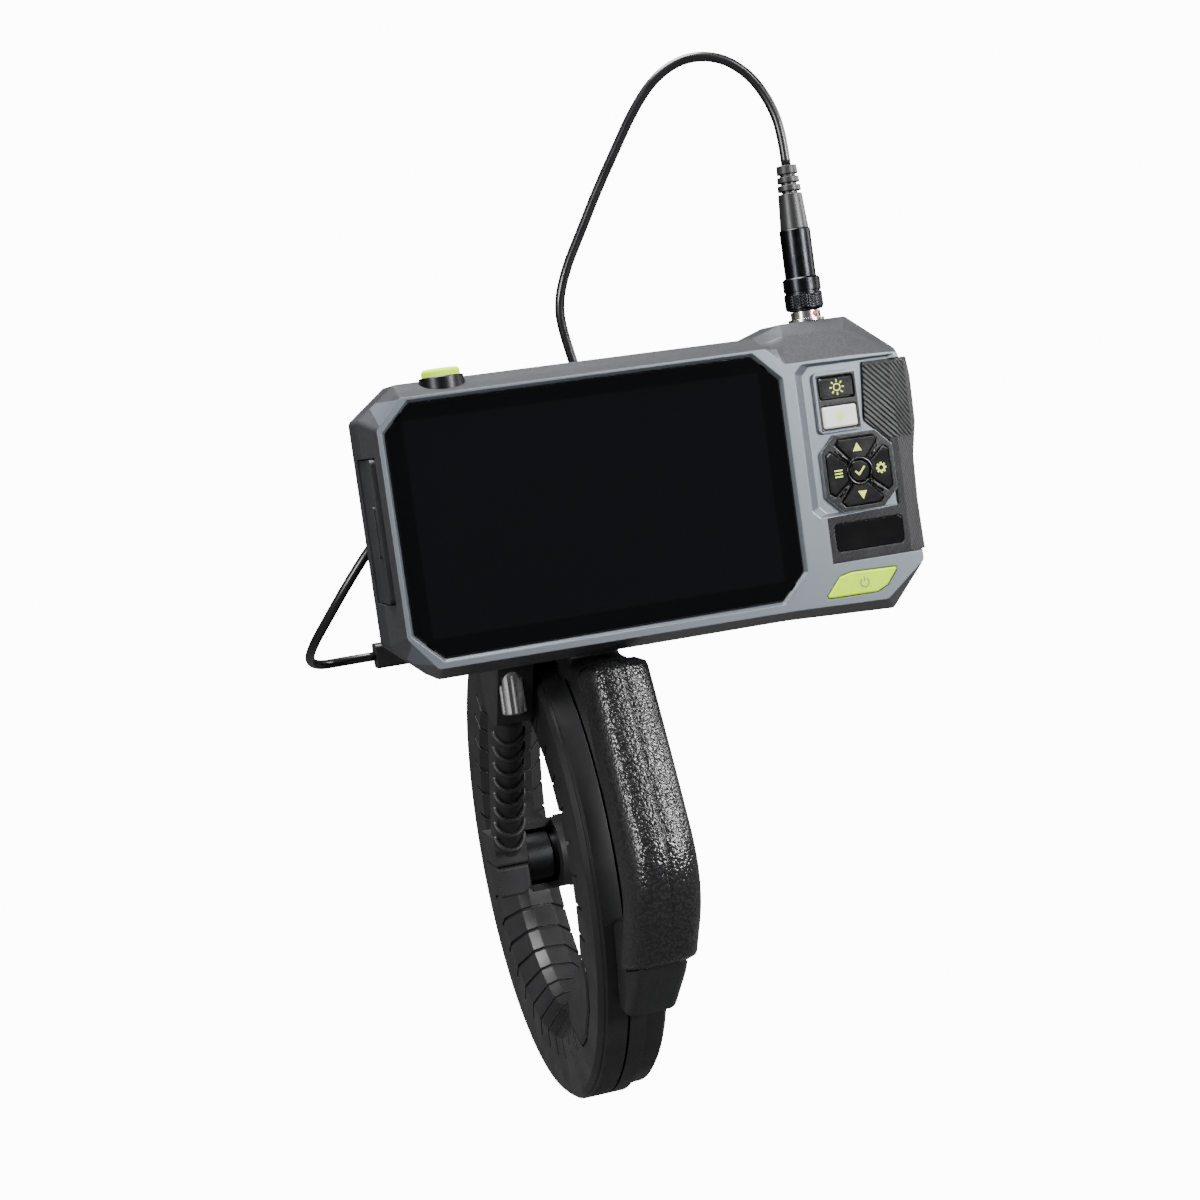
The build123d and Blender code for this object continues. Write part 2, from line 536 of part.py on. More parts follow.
def pad_quarter(k):
    """Opening for one key of the direction pad, k quarter turns from the top."""
    low, high, half_low, half_high = 3.5, PAD_HALF - 0.45, 2.7, PAD_HALF - PAD_CUT - 0.6
    shoulder = PAD_HALF - PAD_CUT * 0.62 - 1.0
    corners = [(-half_low, low), (half_low, low), (shoulder, high - PAD_CUT * 0.38), (half_high, high),
               (-half_high, high), (-shoulder, high - PAD_CUT * 0.38)]
    turn = math.radians(90 * k)
    return [(PAD_X + u * math.cos(turn) - v * math.sin(turn), PAD_Z + u * math.sin(turn) + v * math.cos(turn))
            for u, v in corners]


def bevelled(outer, inner, y0, y1):
    """Sloping-sided space from an outer outline at y0 to an inner one at y1."""
    return loft([section_at(outer, y0), section_at(inner, y1)], ruled=True)


def front_case():
    body = case_solid() & block(-90, 130, -5, PARTING_Y, -60, 60)
    body -= plate_xz(glass_outline(0.15), -5, GLASS_T, 1.5)
    body -= bevelled(glass_outline(1.1), glass_outline(0.1), FRONT_Y - 0.1, 0.4)
    body -= rounded_xz(-57.5, 57.5, -34.5, 34.5, 0, 20, 2)
    body -= plate_xz(inside(SHOULDER), 4.6, 20)
    body -= bevelled(PANEL_OUTER, PANEL_INNER, FRONT_Y - 0.01, PANEL_Y)
    body += rounded_xz(71.2, 85.6, 11.2, 29.6, -0.8, 1, 1.4)
    body += pad_surround()
    body -= side_grip_space()
    body -= port_recess() + port_pocket()
    body -= button_hole() + socket_hole()
    for well in key_openings():
        body -= well
    return body


def pad_surround():
    """Octagonal frame with four ribs and a ring between the direction keys."""
    h, c = PAD_HALF + 0.9, PAD_CUT + 0.4
    octagon = [(-h, -h + c), (-h, h - c), (-h + c, h), (h - c, h), (h, h - c), (h, -h + c), (h - c, -h),
               (-h + c, -h)]
    return plate_xz([(PAD_X + u, PAD_Z + v) for u, v in octagon], -0.8, 2.0)


def rear_case():
    body = case_solid() & block(-90, 130, PARTING_Y + SEAM_Y, 40, -60, 60)
    body -= plate_xz(inside(WIDEST), 5, BACK_Y - CASE_WALL)
    body -= rounded_xz(-48, 28, -38, -22, BACK_Y - 1.6, 40, 3)
    body -= side_grip_space() + port_recess() + port_pocket()
    body -= button_hole() + socket_hole()
    body -= rod_z(4.0, -60, -36, 20, 21)
    for x, z in CASE_SCREWS:
        body -= rod_y(2.4, BACK_Y - 1.2, 40, x, z) + rod_y(1.2, 20, 40, x, z)
    for x, z in HINGE_SCREWS:
        body -= rod_y(1.2, 20, 40, x, z)
    return body


CASE_SCREWS = [(-56, 34), (50, 34), (-56, -35), (50, -35), (92, 26), (90, -37)]
HINGE_SCREWS = [(-14.2, 12), (14.8, 12), (-14.2, -12), (14.8, -12)]


def case_screws():
    """Six screws that hold the case together and four that hold the hinge plate on it."""
    places = [(x, BACK_Y - 1.2, z) for x, z in CASE_SCREWS] + [(x, BACK_Y + 3, z) for x, z in HINGE_SCREWS]
    return screws(places, 2.2, 1.0, 1.15, 6, Rot(-90, 0, 0))


def case_gasket():
    hole = flat(inside(WIDEST))
    ring = offset(hole, 0.8, kind=Kind.INTERSECTION) - hole
    gasket = Pos(0, PARTING_Y + SEAM_Y, 0) * extrude(Plane.XZ * ring, SEAM_Y)
    return gasket - button_hole() - socket_hole() - block(97, 110, 0, 30, -28.3, 31.2) - port_pocket()


def screen_glass():
    body = plate_xz(glass_outline(), 0, GLASS_T, 1.4)
    return chamfer(body.faces().sort_by(Axis.Y)[0].edges(), 0.3)


def display_panel():
    return block(-55.5, 55.5, GLASS_T, GLASS_T + 3.2, -32.5, 32.5)


def side_grip():
    """Rubber pad that wraps round the right side, with a bulge under the fingers."""
    front = plate_xz([(min(x, 98.0), z) for x, z in GRIP_FACE], -0.6, 2.6)
    wrap = plate_xz([(97.5, -28.3), (103.0, -28.3), (102.4, -13.0), (103.0, 0.5), (106.0, 11.0),
                     (106.2, 25.0), (105.2, 31.2), (97.5, 31.2)], -0.6, 22)
    corner = extrude(Plane.XY * flat([(96.5, -0.6), (108.5, 8.4), (108.5, -2), (96.5, -2)]), 40, both=True)
    return front + wrap - corner - rounded_xz(72.0, 94.6, -25.2, -16.4, -3, 1.0, 1.6)


def badge_plate():
    return rounded_xz(72.2, 94.4, -25.0, -16.6, -0.3, 1.0, 1.5)


def key_mat():
    """Silicone sheet behind all the keys."""
    return rounded_xz(70.5, 93.5, -12.5, 29.2, *MAT_Y, 2) + rounded_xz(66.5, 87.5, -37.6, -32.4, *MAT_Y, 1)


def main_board():
    board = block(-52, 90, 8.5, 10.1, -36, 30) - rod_z(7.2, 20, 50, BUTTON_X, BUTTON_Y)
    chips = [block(-20, 2, 10.1, 11.6, -12, 8), block(20, 36, 10.1, 11.3, 6, 20),
             block(60, 74, 10.1, 12.4, -8, 4)]
    for chip in chips:
        board += chip
    return board


def battery_pack():
    body = block(-46, 26, 14, 24, -35, 18)
    return fillet(body.edges().filter_by(Axis.X), 3.0)


def battery_cover():
    body = rounded_xz(-47.8, 27.8, -37.8, -22.2, BACK_Y - 1.6, BACK_Y, 2.8)
    return body - rounded_xz(-16, -4, -25.5, -23.8, BACK_Y - 0.8, BACK_Y + 1, 0.6)


def port_block():
    """Side sockets behind the flap: a narrow one, a wide one and a card slot."""
    body = block(-63.2, PORT_IN, 4.6, 20, -17, 20)
    for y0, y1, z0, z1 in ((8.0, 16.0, 12.0, 15.2), (8.0, 16.0, 0.5, 6.5), (9.0, 15.0, -12.0, -10.6)):
        body -= block(-64, PORT_IN + 2.6, y0, y1, z0, z1)
    return body


def port_flap():
    body = block(-65.4, -63.65, 3.6, 22.7, -19.6, 22.6)
    body = fillet(body.edges().filter_by(Axis.X), 1.5)
    return body + fillet(block(-66.1, -65.3, 5.4, 8.0, -6, 9).edges().filter_by(Axis.X), 0.8)


def tripod_insert():
    return rod_z(4.0, -44.2, -37.0, 20, 21) - rod_z(2.6, -45, -38.2, 20, 21)


def hinge_plate():
    """Plate on the monitor's back with the two outer knuckles of the tilt hinge."""
    axis_y, axis_z = HINGE_Y - MON_Y, HINGE_Z - MON_Z
    x0, x1 = MIDDLE_KNUCKLE[0] - MON_X, MIDDLE_KNUCKLE[1] - MON_X
    body = rounded_xz(-18.2, 18.8, -16, 16, BACK_Y, BACK_Y + 3, 3)
    for a, b in ((x0 - KNUCKLE_GAP - SIDE_KNUCKLE, x0 - KNUCKLE_GAP),
                 (x1 + KNUCKLE_GAP, x1 + KNUCKLE_GAP + SIDE_KNUCKLE)):
        body += block(a, b, BACK_Y + 1, axis_y, axis_z - KNUCKLE_R, axis_z + KNUCKLE_R)
        body += rod_x(KNUCKLE_R, a, b, axis_y, axis_z)
    for x, z in HINGE_SCREWS:
        body -= rod_y(1.25, BACK_Y - 1, 40, x, z)
    return body - rod_x(PIN_R + RUNNING, -30, 30, axis_y, axis_z)


# ---------------------------------------------------------------- keys and buttons
def square_key(x0, x1, z0, z1):
    key = rounded_xz(x0, x1, z0, z1, KEY_FRONT, KEY_BACK, 0.7)
    return chamfer(key.faces().sort_by(Axis.Y)[0].edges(), 0.5)


def key_in(opening, front, edge):
    """A key with the same gap all round in its opening."""
    face = offset(opening, -KEY_GAP, kind=Kind.INTERSECTION)
    key = Pos(0, KEY_BACK, 0) * extrude(Plane.XZ * face, KEY_BACK - front)
    return chamfer(key.faces().sort_by(Axis.Y)[0].edges(), edge)


def pad_key(k):
    return key_in(flat(pad_quarter(k)), KEY_FRONT, 0.35)


def ok_key():
    key = rod_y(OK_R, KEY_FRONT, KEY_BACK, PAD_X, PAD_Z)
    return chamfer(key.edges().sort_by(Axis.Y)[0], 0.4)


def power_key():
    return key_in(flat(POWER, 0.8), KEY_FRONT - 0.2, 0.4)


def button_collar():
    ring = rod_z(6.6, 35.5, 43.8, BUTTON_X, BUTTON_Y) - rod_z(6.0, 38.5, 50, BUTTON_X, BUTTON_Y)
    return chamfer(ring.edges().group_by(Axis.Z)[-1], 0.25)


def capture_button():
    body = rod_z(5.7, 40.0, 46.2, BUTTON_X, BUTTON_Y)
    return fillet(body.edges().group_by(Axis.Z)[-1], 1.2)


# ---------------------------------------------------------------- plug
def lead_socket():
    body = rod_z(SOCKET_R, 40, SOCKET_TOP, PLUG_X, PLUG_Y) + rod_z(5.6, 46.0, 46.9, PLUG_X, PLUG_Y)
    return body - rod_z(3.2, 44, 60, PLUG_X, PLUG_Y)


def plug_sleeve():
    z0, z1 = SLEEVE_Z
    body = rod_z(SLEEVE_R, z0, z1, PLUG_X, PLUG_Y)
    body = chamfer(body.edges().filter_by(GeomType.CIRCLE), 0.5)
    body -= rod_z(SLEEVE_R + 1, z0 + 5.2, z0 + 5.8, PLUG_X, PLUG_Y) - rod_z(
        SLEEVE_R - 0.4, z0 + 5.2, z0 + 5.8, PLUG_X, PLUG_Y)
    return body - rod_z(BARREL_R + RUNNING, z0 - 1, z1 + 1, PLUG_X, PLUG_Y)


def plug_barrel():
    z0, z1 = BARREL_Z
    body = rod_z(BARREL_R, z0, z1, PLUG_X, PLUG_Y)
    return chamfer(body.edges().filter_by(GeomType.CIRCLE), 0.3)


def plug_boot():
    """Tapered strain relief with ribs towards the lead."""
    z0 = BARREL_Z[1]
    body = Pos(PLUG_X, PLUG_Y, z0) * Cone(BOOT_R, BOOT_TIP_R, BOOT_TOP - z0,
                                          align=(Align.CENTER, Align.CENTER, Align.MIN))
    for k in range(3):
        z = BOOT_TOP - 3.0 - 2.6 * k
        body -= rod_z(5, z - 0.45, z + 0.45, PLUG_X, PLUG_Y) - rod_z(2.4, z - 0.45, z + 0.45, PLUG_X, PLUG_Y)
    return body


# ---------------------------------------------------------------- jumper lead
def lead_radii():
    """Each corner's arc is 0.45 of its shorter run over the tangent of half its turn."""
    points = [Vector(*p) for p in LEAD_ROUTE]
    radii = []
    for before, here, after in zip(points, points[1:], points[2:]):
        turn = (here - before).get_angle(after - here)
        shorter = min((here - before).length, (after - here).length)
        radii.append(0.45 * shorter / math.tan(math.radians(turn) / 2))
    return radii


def lead_tube():
    radii = lead_radii()
    path = FilletPolyline(*[Vector(*p) for p in LEAD_ROUTE], radius=radii)
    start = Plane(origin=path @ 0, z_dir=path % 0)
    tube = sweep(start * Circle(LEAD_D / 2), path=path)
    section = math.pi * LEAD_D ** 2 / 4
    print("jumper lead: length", round(path.length, 1), "mm, radii", [round(r, 1) for r in radii])
    print("tube volume over section times length:", round(tube.volume / (section * path.length), 4))
    return tube


# ---------------------------------------------------------------- write every piece
def halves(piece):
    left = piece & block(-60, GRIP_X, -200, 200, -200, 300)
    right = piece & block(GRIP_X, 60, -200, 200, -200, 300)
    return left, right


def main():
    os.makedirs("parts", exist_ok=True)

    left, right = shell_left(), shell_right()
    for groove in finger_grooves():
        left -= groove
        right -= groove
    for hole in reel_screw_holes():
        right -= hole
    left = left - pad_groove() + finger_pad()
    save("reel_shell_left", left)
    save("reel_shell_right", right)
    save("reel_screws", reel_screws())
    save("push_cable_coil", cable_coil())
    save("reel_hub", reel_hub())
    save("hub_plate", hub_plate())
    save("hub_bush", hub_bush())
    save("slip_ring_disc", slip_ring_disc())

    sleeve = grip_sleeve()
    socket = arm_socket()
    core = handle_core()
    head = head_block() - core
    core_left, core_right = halves(core)
    head_left, head_right = halves(head)
    save("handle_left", core_left)
    save("handle_right", core_right)
    save("grip_sleeve", sleeve - core)
    save("head_left", head_left)
    save("head_right", head_right)
    save("arm_socket", socket)
    save("arm_thumbscrew", arm_thumbscrew())
    save("reel_arm", reel_arm() - screw_pocket())
    save("hub_clamp", hub_clamp())
    save("hub_axle", hub_axle())
    save("slip_ring_body", slip_ring_body())
    save("tilt_post", tilt_post())
    save("tilt_pin", tilt_pin())
    save("lock_knob", lock_knob())
    save("lead_outlet", lead_outlet())
    save("nozzle", nozzle())
    save("camera_head", camera_head())
    save("camera_window", camera_window())
    save("push_cable_end", push_cable_end())

    monitor = {
        "front_case": front_case(), "rear_case": rear_case(), "case_gasket": case_gasket(),
        "case_screws": case_screws(), "screen_glass": screen_glass(), "display_panel": display_panel(),
        "side_grip": side_grip(), "badge_plate": badge_plate(), "key_mat": key_mat(),
        "main_board": main_board(), "battery_pack": battery_pack(), "battery_cover": battery_cover(),
        "port_block": port_block(), "port_flap": port_flap(), "tripod_insert": tripod_insert(),
        "hinge_plate": hinge_plate(),
        "brightness_key": square_key(72.8, 83.9, 21.5, 27.9), "lamp_key": square_key(72.8, 83.9, 12.5, 19.1),
        "up_key": pad_key(0), "menu_key": pad_key(1), "down_key": pad_key(2), "settings_key": pad_key(3),
        "ok_key": ok_key(), "power_key": power_key(), "button_collar": button_collar(),
        "capture_button": capture_button(), "lead_socket": lead_socket(), "plug_sleeve": plug_sleeve(),
        "plug_barrel": plug_barrel(), "plug_boot": plug_boot()}
    tube = lead_tube()
    hinge = HINGE_Z - MON_Z
    monitor["lead_upper"] = tube & block(-200, 200, -50, 200, hinge + LEAD_CUT, 300)
    monitor["lead_lower"] = tube & block(-200, 200, -50, 200, -200, hinge - LEAD_CUT)
    for name, piece in monitor.items():
        save(name, piece, in_monitor=True)


main()
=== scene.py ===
"""The looks of the pipe-inspection camera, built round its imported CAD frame.

Lengths are in metres. Places in the monitor are taken from the middle of the screen glass's
front, and places in the reel from the middle of its axle, both read from the frame.
"""
import math

import bpy
from mathutils import Matrix, Vector


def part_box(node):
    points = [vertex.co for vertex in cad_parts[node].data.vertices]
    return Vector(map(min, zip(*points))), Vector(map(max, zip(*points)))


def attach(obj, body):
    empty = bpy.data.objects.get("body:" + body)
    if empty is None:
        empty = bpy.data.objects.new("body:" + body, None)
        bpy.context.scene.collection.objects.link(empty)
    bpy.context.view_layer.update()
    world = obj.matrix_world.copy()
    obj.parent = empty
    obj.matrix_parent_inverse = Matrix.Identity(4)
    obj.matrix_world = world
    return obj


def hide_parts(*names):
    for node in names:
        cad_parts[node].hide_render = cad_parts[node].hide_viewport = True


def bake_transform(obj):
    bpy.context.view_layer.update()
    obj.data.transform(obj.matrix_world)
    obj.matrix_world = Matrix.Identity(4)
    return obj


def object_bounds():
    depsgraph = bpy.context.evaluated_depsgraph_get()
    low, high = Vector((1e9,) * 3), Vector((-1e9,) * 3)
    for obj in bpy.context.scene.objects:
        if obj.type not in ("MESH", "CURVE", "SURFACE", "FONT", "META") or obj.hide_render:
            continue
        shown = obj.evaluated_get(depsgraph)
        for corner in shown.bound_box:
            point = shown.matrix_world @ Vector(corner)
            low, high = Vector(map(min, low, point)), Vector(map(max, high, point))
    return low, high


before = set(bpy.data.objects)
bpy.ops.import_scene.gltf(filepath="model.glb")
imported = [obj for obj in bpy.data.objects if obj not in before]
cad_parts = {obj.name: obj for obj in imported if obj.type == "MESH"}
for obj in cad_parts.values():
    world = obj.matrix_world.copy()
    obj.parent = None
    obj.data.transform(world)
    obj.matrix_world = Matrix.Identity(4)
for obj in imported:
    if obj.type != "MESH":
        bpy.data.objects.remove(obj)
cad_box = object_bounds()

MM = 0.001
STUDIO_WHITE = 13.0                              # brightness of the studio's white paper
STUDIO_FILL = 0.11                               # and how strongly the studio lights the object

# Places on the monitor's front, in millimetres from the middle of the screen.
PAD_X, PAD_Z = 82.4, -1.4                        # middle of the direction pad
PAD_REACH = 7.0                                  # from there to the icons beside it
KEY_FACE, POWER_FACE = -1.28, -1.48              # fronts of the small keys and of the power key
SMALL_KEY_X = 78.35                              # middle of the two keys above the pad


def middle(node):
    low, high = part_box(node)
    return (low + high) / 2


GLASS_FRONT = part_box("screen_glass")[0].y
MONITOR = Vector((middle("screen_glass").x, GLASS_FRONT, middle("screen_glass").z))
REEL = Vector(((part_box("reel_shell_left")[0].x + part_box("reel_shell_right")[1].x) / 2,
               middle("reel_shell_left").y, middle("reel_shell_left").z))


def in_monitor(x, y, z):
    """A place given in millimetres from the middle of the screen."""
    return MONITOR + Vector((x, y, z)) * MM


def in_reel(x, y, z):
    """A place given in millimetres from the middle of the reel."""
    return REEL + Vector((x, y, z)) * MM


# ---------------------------------------------------------------- camera, light and floor
def add_camera():
    """From the user's left and a little above, rolled so that the tool leans as it is held."""
    azimuth, elevation, roll = math.radians(-15.23), math.radians(4.89), math.radians(-7.99)
    back = Vector((math.sin(azimuth) * math.cos(elevation), -math.cos(azimuth) * math.cos(elevation),
                   math.sin(elevation)))
    level = (-back).cross(Vector((0, 0, 1))).normalized()
    upright = level.cross(-back)
    right = level * math.cos(roll) + upright * math.sin(roll)
    up = upright * math.cos(roll) - level * math.sin(roll)
    data = bpy.data.cameras.new("camera")
    data.lens, data.sensor_width = 63, 36
    camera = bpy.data.objects.new("camera", data)
    camera.matrix_world = Matrix.Translation(in_monitor(-166.4, -596.0, 25.2)) @ Matrix(
        (right, up, back)).transposed().to_4x4()
    bpy.context.scene.collection.objects.link(camera)
    bpy.context.scene.camera = camera


def area_light(name, place, target, size, power):
    data = bpy.data.lights.new(name, "AREA")
    data.shape, data.size, data.energy = "DISK", size, power
    light = bpy.data.objects.new(name, data)
    place = Vector(place)
    light.matrix_world = Matrix.Translation(place) @ (Vector(target) - place).to_track_quat(
        "-Z", "Y").to_matrix().to_4x4()
    bpy.context.scene.collection.objects.link(light)


def add_lights():
    """A strong softbox overhead and weaker ones in front, low by the grip, and at both sides."""
    aim = (0.0, 0.06, 0.03)
    area_light("top_softbox", (-0.15, 0.05, 1.15), aim, 0.7, 50)
    area_light("front_softbox", (0.55, -1.15, 1.05), aim, 0.40, 9)
    area_light("grip_softbox", (0.86, -1.05, 0.36), (0.0, 0.0, 0.0), 0.40, 27)
    area_light("left_softbox", (-1.15, -0.75, 0.40), aim, 0.4, 18)
    area_light("right_softbox", (1.15, 0.05, 0.50), aim, 0.6, 11)
    add_world()


def add_world():
    """White to look at, yet dim as a light, so that black plastic stays black in a white studio."""
    world = bpy.data.worlds.new("studio")
    world.use_nodes = True
    tree = world.node_tree
    background = tree.nodes["Background"]
    background.inputs["Color"].default_value = (1, 1, 1, 1)
    tree.links.new(seen_or_not(tree, STUDIO_WHITE, STUDIO_FILL), background.inputs["Strength"])
    bpy.context.scene.world = world


def seen_or_not(tree, seen, unseen):
    """One value where the camera looks straight at it, and another for the light it gives."""
    path = tree.nodes.new("ShaderNodeLightPath")
    choice = tree.nodes.new("ShaderNodeMapRange")
    choice.inputs["To Min"].default_value = unseen
    choice.inputs["To Max"].default_value = seen
    tree.links.new(path.outputs["Is Camera Ray"], choice.inputs["Value"])
    return choice.outputs["Result"]


def add_floor():
    """A pale floor that sweeps up into a backdrop behind the object."""
    floor_z = cad_box[0][2] - 0.06
    near, bend, far, half_width, top = -1.2, 0.9, 1.9, 3.2, 2.6
    sweep, steps = far - bend, 16
    line = [(near, floor_z)]
    for k in range(steps + 1):
        turn = math.pi / 2 * k / steps
        line.append((bend + sweep * math.sin(turn), floor_z + sweep * (1 - math.cos(turn))))
    line.append((far, top))
    points = [(x, y, z) for y, z in line for x in (-half_width, half_width)]
    faces = [(2 * k, 2 * k + 1, 2 * k + 3, 2 * k + 2) for k in range(len(line) - 1)]
    mesh = bpy.data.meshes.new("floor")
    mesh.from_pydata(points, [], faces)
    for face in mesh.polygons:
        face.use_smooth = True
    floor = bpy.data.objects.new("floor", mesh)
    bpy.context.scene.collection.objects.link(floor)
    floor.data.materials.append(FLOOR_PAINT)


# ---------------------------------------------------------------- materials
class Paint:
    """A material with its Principled shader, its object coordinates and short ways to add nodes."""

    def __init__(self, name, colour, rough, metallic=0.0, coat=0.0, specular=0.5):
        self.material = bpy.data.materials.new(name)
        self.material.use_nodes = True
        self.tree = self.material.node_tree
        self.shader = self.tree.nodes["Principled BSDF"]
        self.place = self.add("ShaderNodeTexCoord").outputs["Object"]
        for socket, value in (("Base Color", (*colour, 1)), ("Roughness", rough), ("Metallic", metallic),
                              ("Coat Weight", coat), ("Specular IOR Level", specular)):
            self.shader.inputs[socket].default_value = value
        self.colour, self.rough, self.normal = colour, rough, None

    def add(self, kind, **settings):
        node = self.tree.nodes.new(kind)
        for key, value in settings.items():
            setattr(node, key, value)
        return node

    def join(self, source, target):
        self.tree.links.new(source, target)

    def part_of(self, output, axis):
        """One component of a texture coordinate."""
        split = self.add("ShaderNodeSeparateXYZ")
        self.join(self.tree.nodes["Texture Coordinate"].outputs[output], split.inputs[0])
        return split.outputs[axis]

    def noise(self, cell, detail=2.0, place=None):
        """Values about 0.5 that vary over one cell, in metres."""
        node = self.add("ShaderNodeTexNoise")
        node.inputs["Scale"].default_value = 1 / cell
        node.inputs["Detail"].default_value = detail
        self.join(place or self.place, node.inputs["Vector"])
        return node.outputs["Fac"]

    def pebbles(self, cell):
        """Small domes, each about a cell across: 1 on their tops and lower between them."""
        node = self.add("ShaderNodeTexVoronoi", feature="SMOOTH_F1")
        node.inputs["Scale"].default_value = 1 / cell
        node.inputs["Smoothness"].default_value = 0.35
        self.join(self.place, node.inputs["Vector"])
        return self.math("SUBTRACT", 1.0, node.outputs["Distance"])

    def ranged(self, value, low, high, from_low=0.3, from_high=0.7):
        """Stretches a value's range, from_low to from_high, to another one, low to high."""
        node = self.add("ShaderNodeMapRange")
        for socket, number in (("From Min", from_low), ("From Max", from_high),
                               ("To Min", low), ("To Max", high)):
            node.inputs[socket].default_value = number
        self.join(value, node.inputs["Value"])
        return node.outputs["Result"]

    def math(self, operation, a, b=None):
        node = self.add("ShaderNodeMath", operation=operation)
        for socket, value in zip(node.inputs, (a, b)):
            if value is None:
                continue
            if isinstance(value, (int, float)):
                socket.default_value = value
            else:
                self.join(value, socket)
        return node.outputs[0]

    def mixed(self, amount, colour_a, colour_b):
        node = self.add("ShaderNodeMix", data_type="RGBA")
        self.join(amount, node.inputs[0])
        for socket, value in ((node.inputs[6], colour_a), (node.inputs[7], colour_b)):
            if isinstance(value, tuple):
                socket.default_value = (*value, 1)
            else:
                self.join(value, socket)
        return node.outputs[2]

    def soften(self, radius):
        """Rounds the shading of the edges, as a moulded part's edges are."""
        node = self.add("ShaderNodeBevel", samples=4)
        node.inputs["Radius"].default_value = radius
        self.raise_normal(node.outputs["Normal"])

    def bump(self, height, depth, strength=1.0):
        node = self.add("ShaderNodeBump")
        node.inputs["Distance"].default_value = depth
        node.inputs["Strength"].default_value = strength
        self.join(height, node.inputs["Height"])
        if self.normal is not None:
            self.join(self.normal, node.inputs["Normal"])
        self.raise_normal(node.outputs["Normal"])

    def raise_normal(self, normal):
        self.normal = normal
        self.join(normal, self.shader.inputs["Normal"])

    def vary_rough(self, cell, spread):
        self.join(self.ranged(self.noise(cell), self.rough - spread, self.rough + spread),
                  self.shader.inputs["Roughness"])

    def vary_colour(self, cell, share):
        """Lets the colour drift by a share of itself."""
        darker = tuple(c * (1 - share) for c in self.colour)
        lighter = tuple(min(1.0, c * (1 + share)) for c in self.colour)
        drift = self.mixed(self.ranged(self.noise(cell), 0, 1), darker, lighter)
        self.join(drift, self.shader.inputs["Base Color"])
        return drift


def moulded(name, colour, rough, grain=0.25 * MM, depth=0.02 * MM, coat=0.0, specular=0.5):
    """Moulded plastic: fine grain, softened edges and a little handling polish."""
    paint = Paint(name, colour, rough, coat=coat, specular=specular)
    paint.soften(0.35 * MM)
    paint.bump(paint.noise(grain), depth)
    paint.vary_rough(14 * MM, 0.07)
    paint.vary_colour(9 * MM, 0.12)
    return paint.material


def mask_of_box(paint, x0, x1, z0, z1, soft=0.15):
    """1 inside a rectangle on the monitor's front, and 0 outside; soft is the width of its edge."""
    split = paint.add("ShaderNodeSeparateXYZ")
    paint.join(paint.place, split.inputs[0])
    inside = None
    for axis, low, high, origin in ((0, x0, x1, MONITOR.x), (2, z0, z1, MONITOR.z)):
        middle_of, half = origin + (low + high) / 2 * MM, (high - low) / 2 * MM
        away = paint.math("ABSOLUTE", paint.math("SUBTRACT", split.outputs[axis], middle_of))
        within = paint.ranged(away, 1, 0, half - soft * MM, half)
        inside = within if inside is None else paint.math("MULTIPLY", inside, within)
    return inside


def mask_of_octagon(paint, x, z, half, cut):
    """1 inside a square with cut corners on the monitor's front."""
    split = paint.add("ShaderNodeSeparateXYZ")
    paint.join(paint.place, split.inputs[0])
    across = paint.math("ABSOLUTE", paint.math("SUBTRACT", split.outputs[0], MONITOR.x + x * MM))
    along = paint.math("ABSOLUTE", paint.math("SUBTRACT", split.outputs[2], MONITOR.z + z * MM))
    sides = paint.math("MAXIMUM", across, along)
    corners = paint.math("SUBTRACT", paint.math("ADD", across, along), (half - cut) * MM)
    return paint.ranged(paint.math("MAXIMUM", sides, corners), 1, 0, (half - 0.1) * MM, half * MM)


def facing_front(paint):
    """1 on faces that look towards the user, 0 on the case's slopes and sides."""
    return paint.ranged(paint.math("MULTIPLY", paint.part_of("Normal", 1), -1.0), 0, 1, 0.86, 0.90)


def bezel_paint():
    """Blue-grey metallic paint on the front, charcoal on the slopes, black round the keys."""
    paint = Paint("bezel_paint", (0.22, 0.25, 0.28), 0.38, metallic=0.5)
    paint.soften(0.5 * MM)
    paint.bump(paint.noise(0.22 * MM, 3), 0.018 * MM)
    flake = paint.ranged(paint.noise(0.20 * MM, 1), 0, 1, 0.35, 0.65)
    painted = paint.mixed(flake, (0.115, 0.132, 0.150), (0.170, 0.192, 0.215))
    slopes = paint.mixed(flake, (0.020, 0.021, 0.024), (0.066, 0.067, 0.072))
    round_glass = mask_of_box(paint, -61.9, 62.0, -38.6, 38.6)
    key_panel = mask_of_box(paint, 65.2, 98.2, -14.2, 33.0)
    front = paint.math("MAXIMUM", facing_front(paint), paint.math("MAXIMUM", round_glass, key_panel))
    body = paint.mixed(front, slopes, painted)
    surround = paint.math("MAXIMUM", mask_of_box(paint, 71.9, 84.9, 11.7, 28.9),
                          mask_of_octagon(paint, PAD_X, PAD_Z, 11.75, 5.0))
    paint.join(paint.mixed(surround, body, (0.006, 0.006, 0.007)), paint.shader.inputs["Base Color"])
    paint.join(paint.ranged(surround, 0.38, 0.25, 0, 1), paint.shader.inputs["Roughness"])
    flakes_shine = paint.ranged(front, 0.2, 0.6, 0, 1)
    paint.join(paint.math("MULTIPLY", flakes_shine, paint.ranged(surround, 1, 0, 0, 1)),
               paint.shader.inputs["Metallic"])
    return paint.material


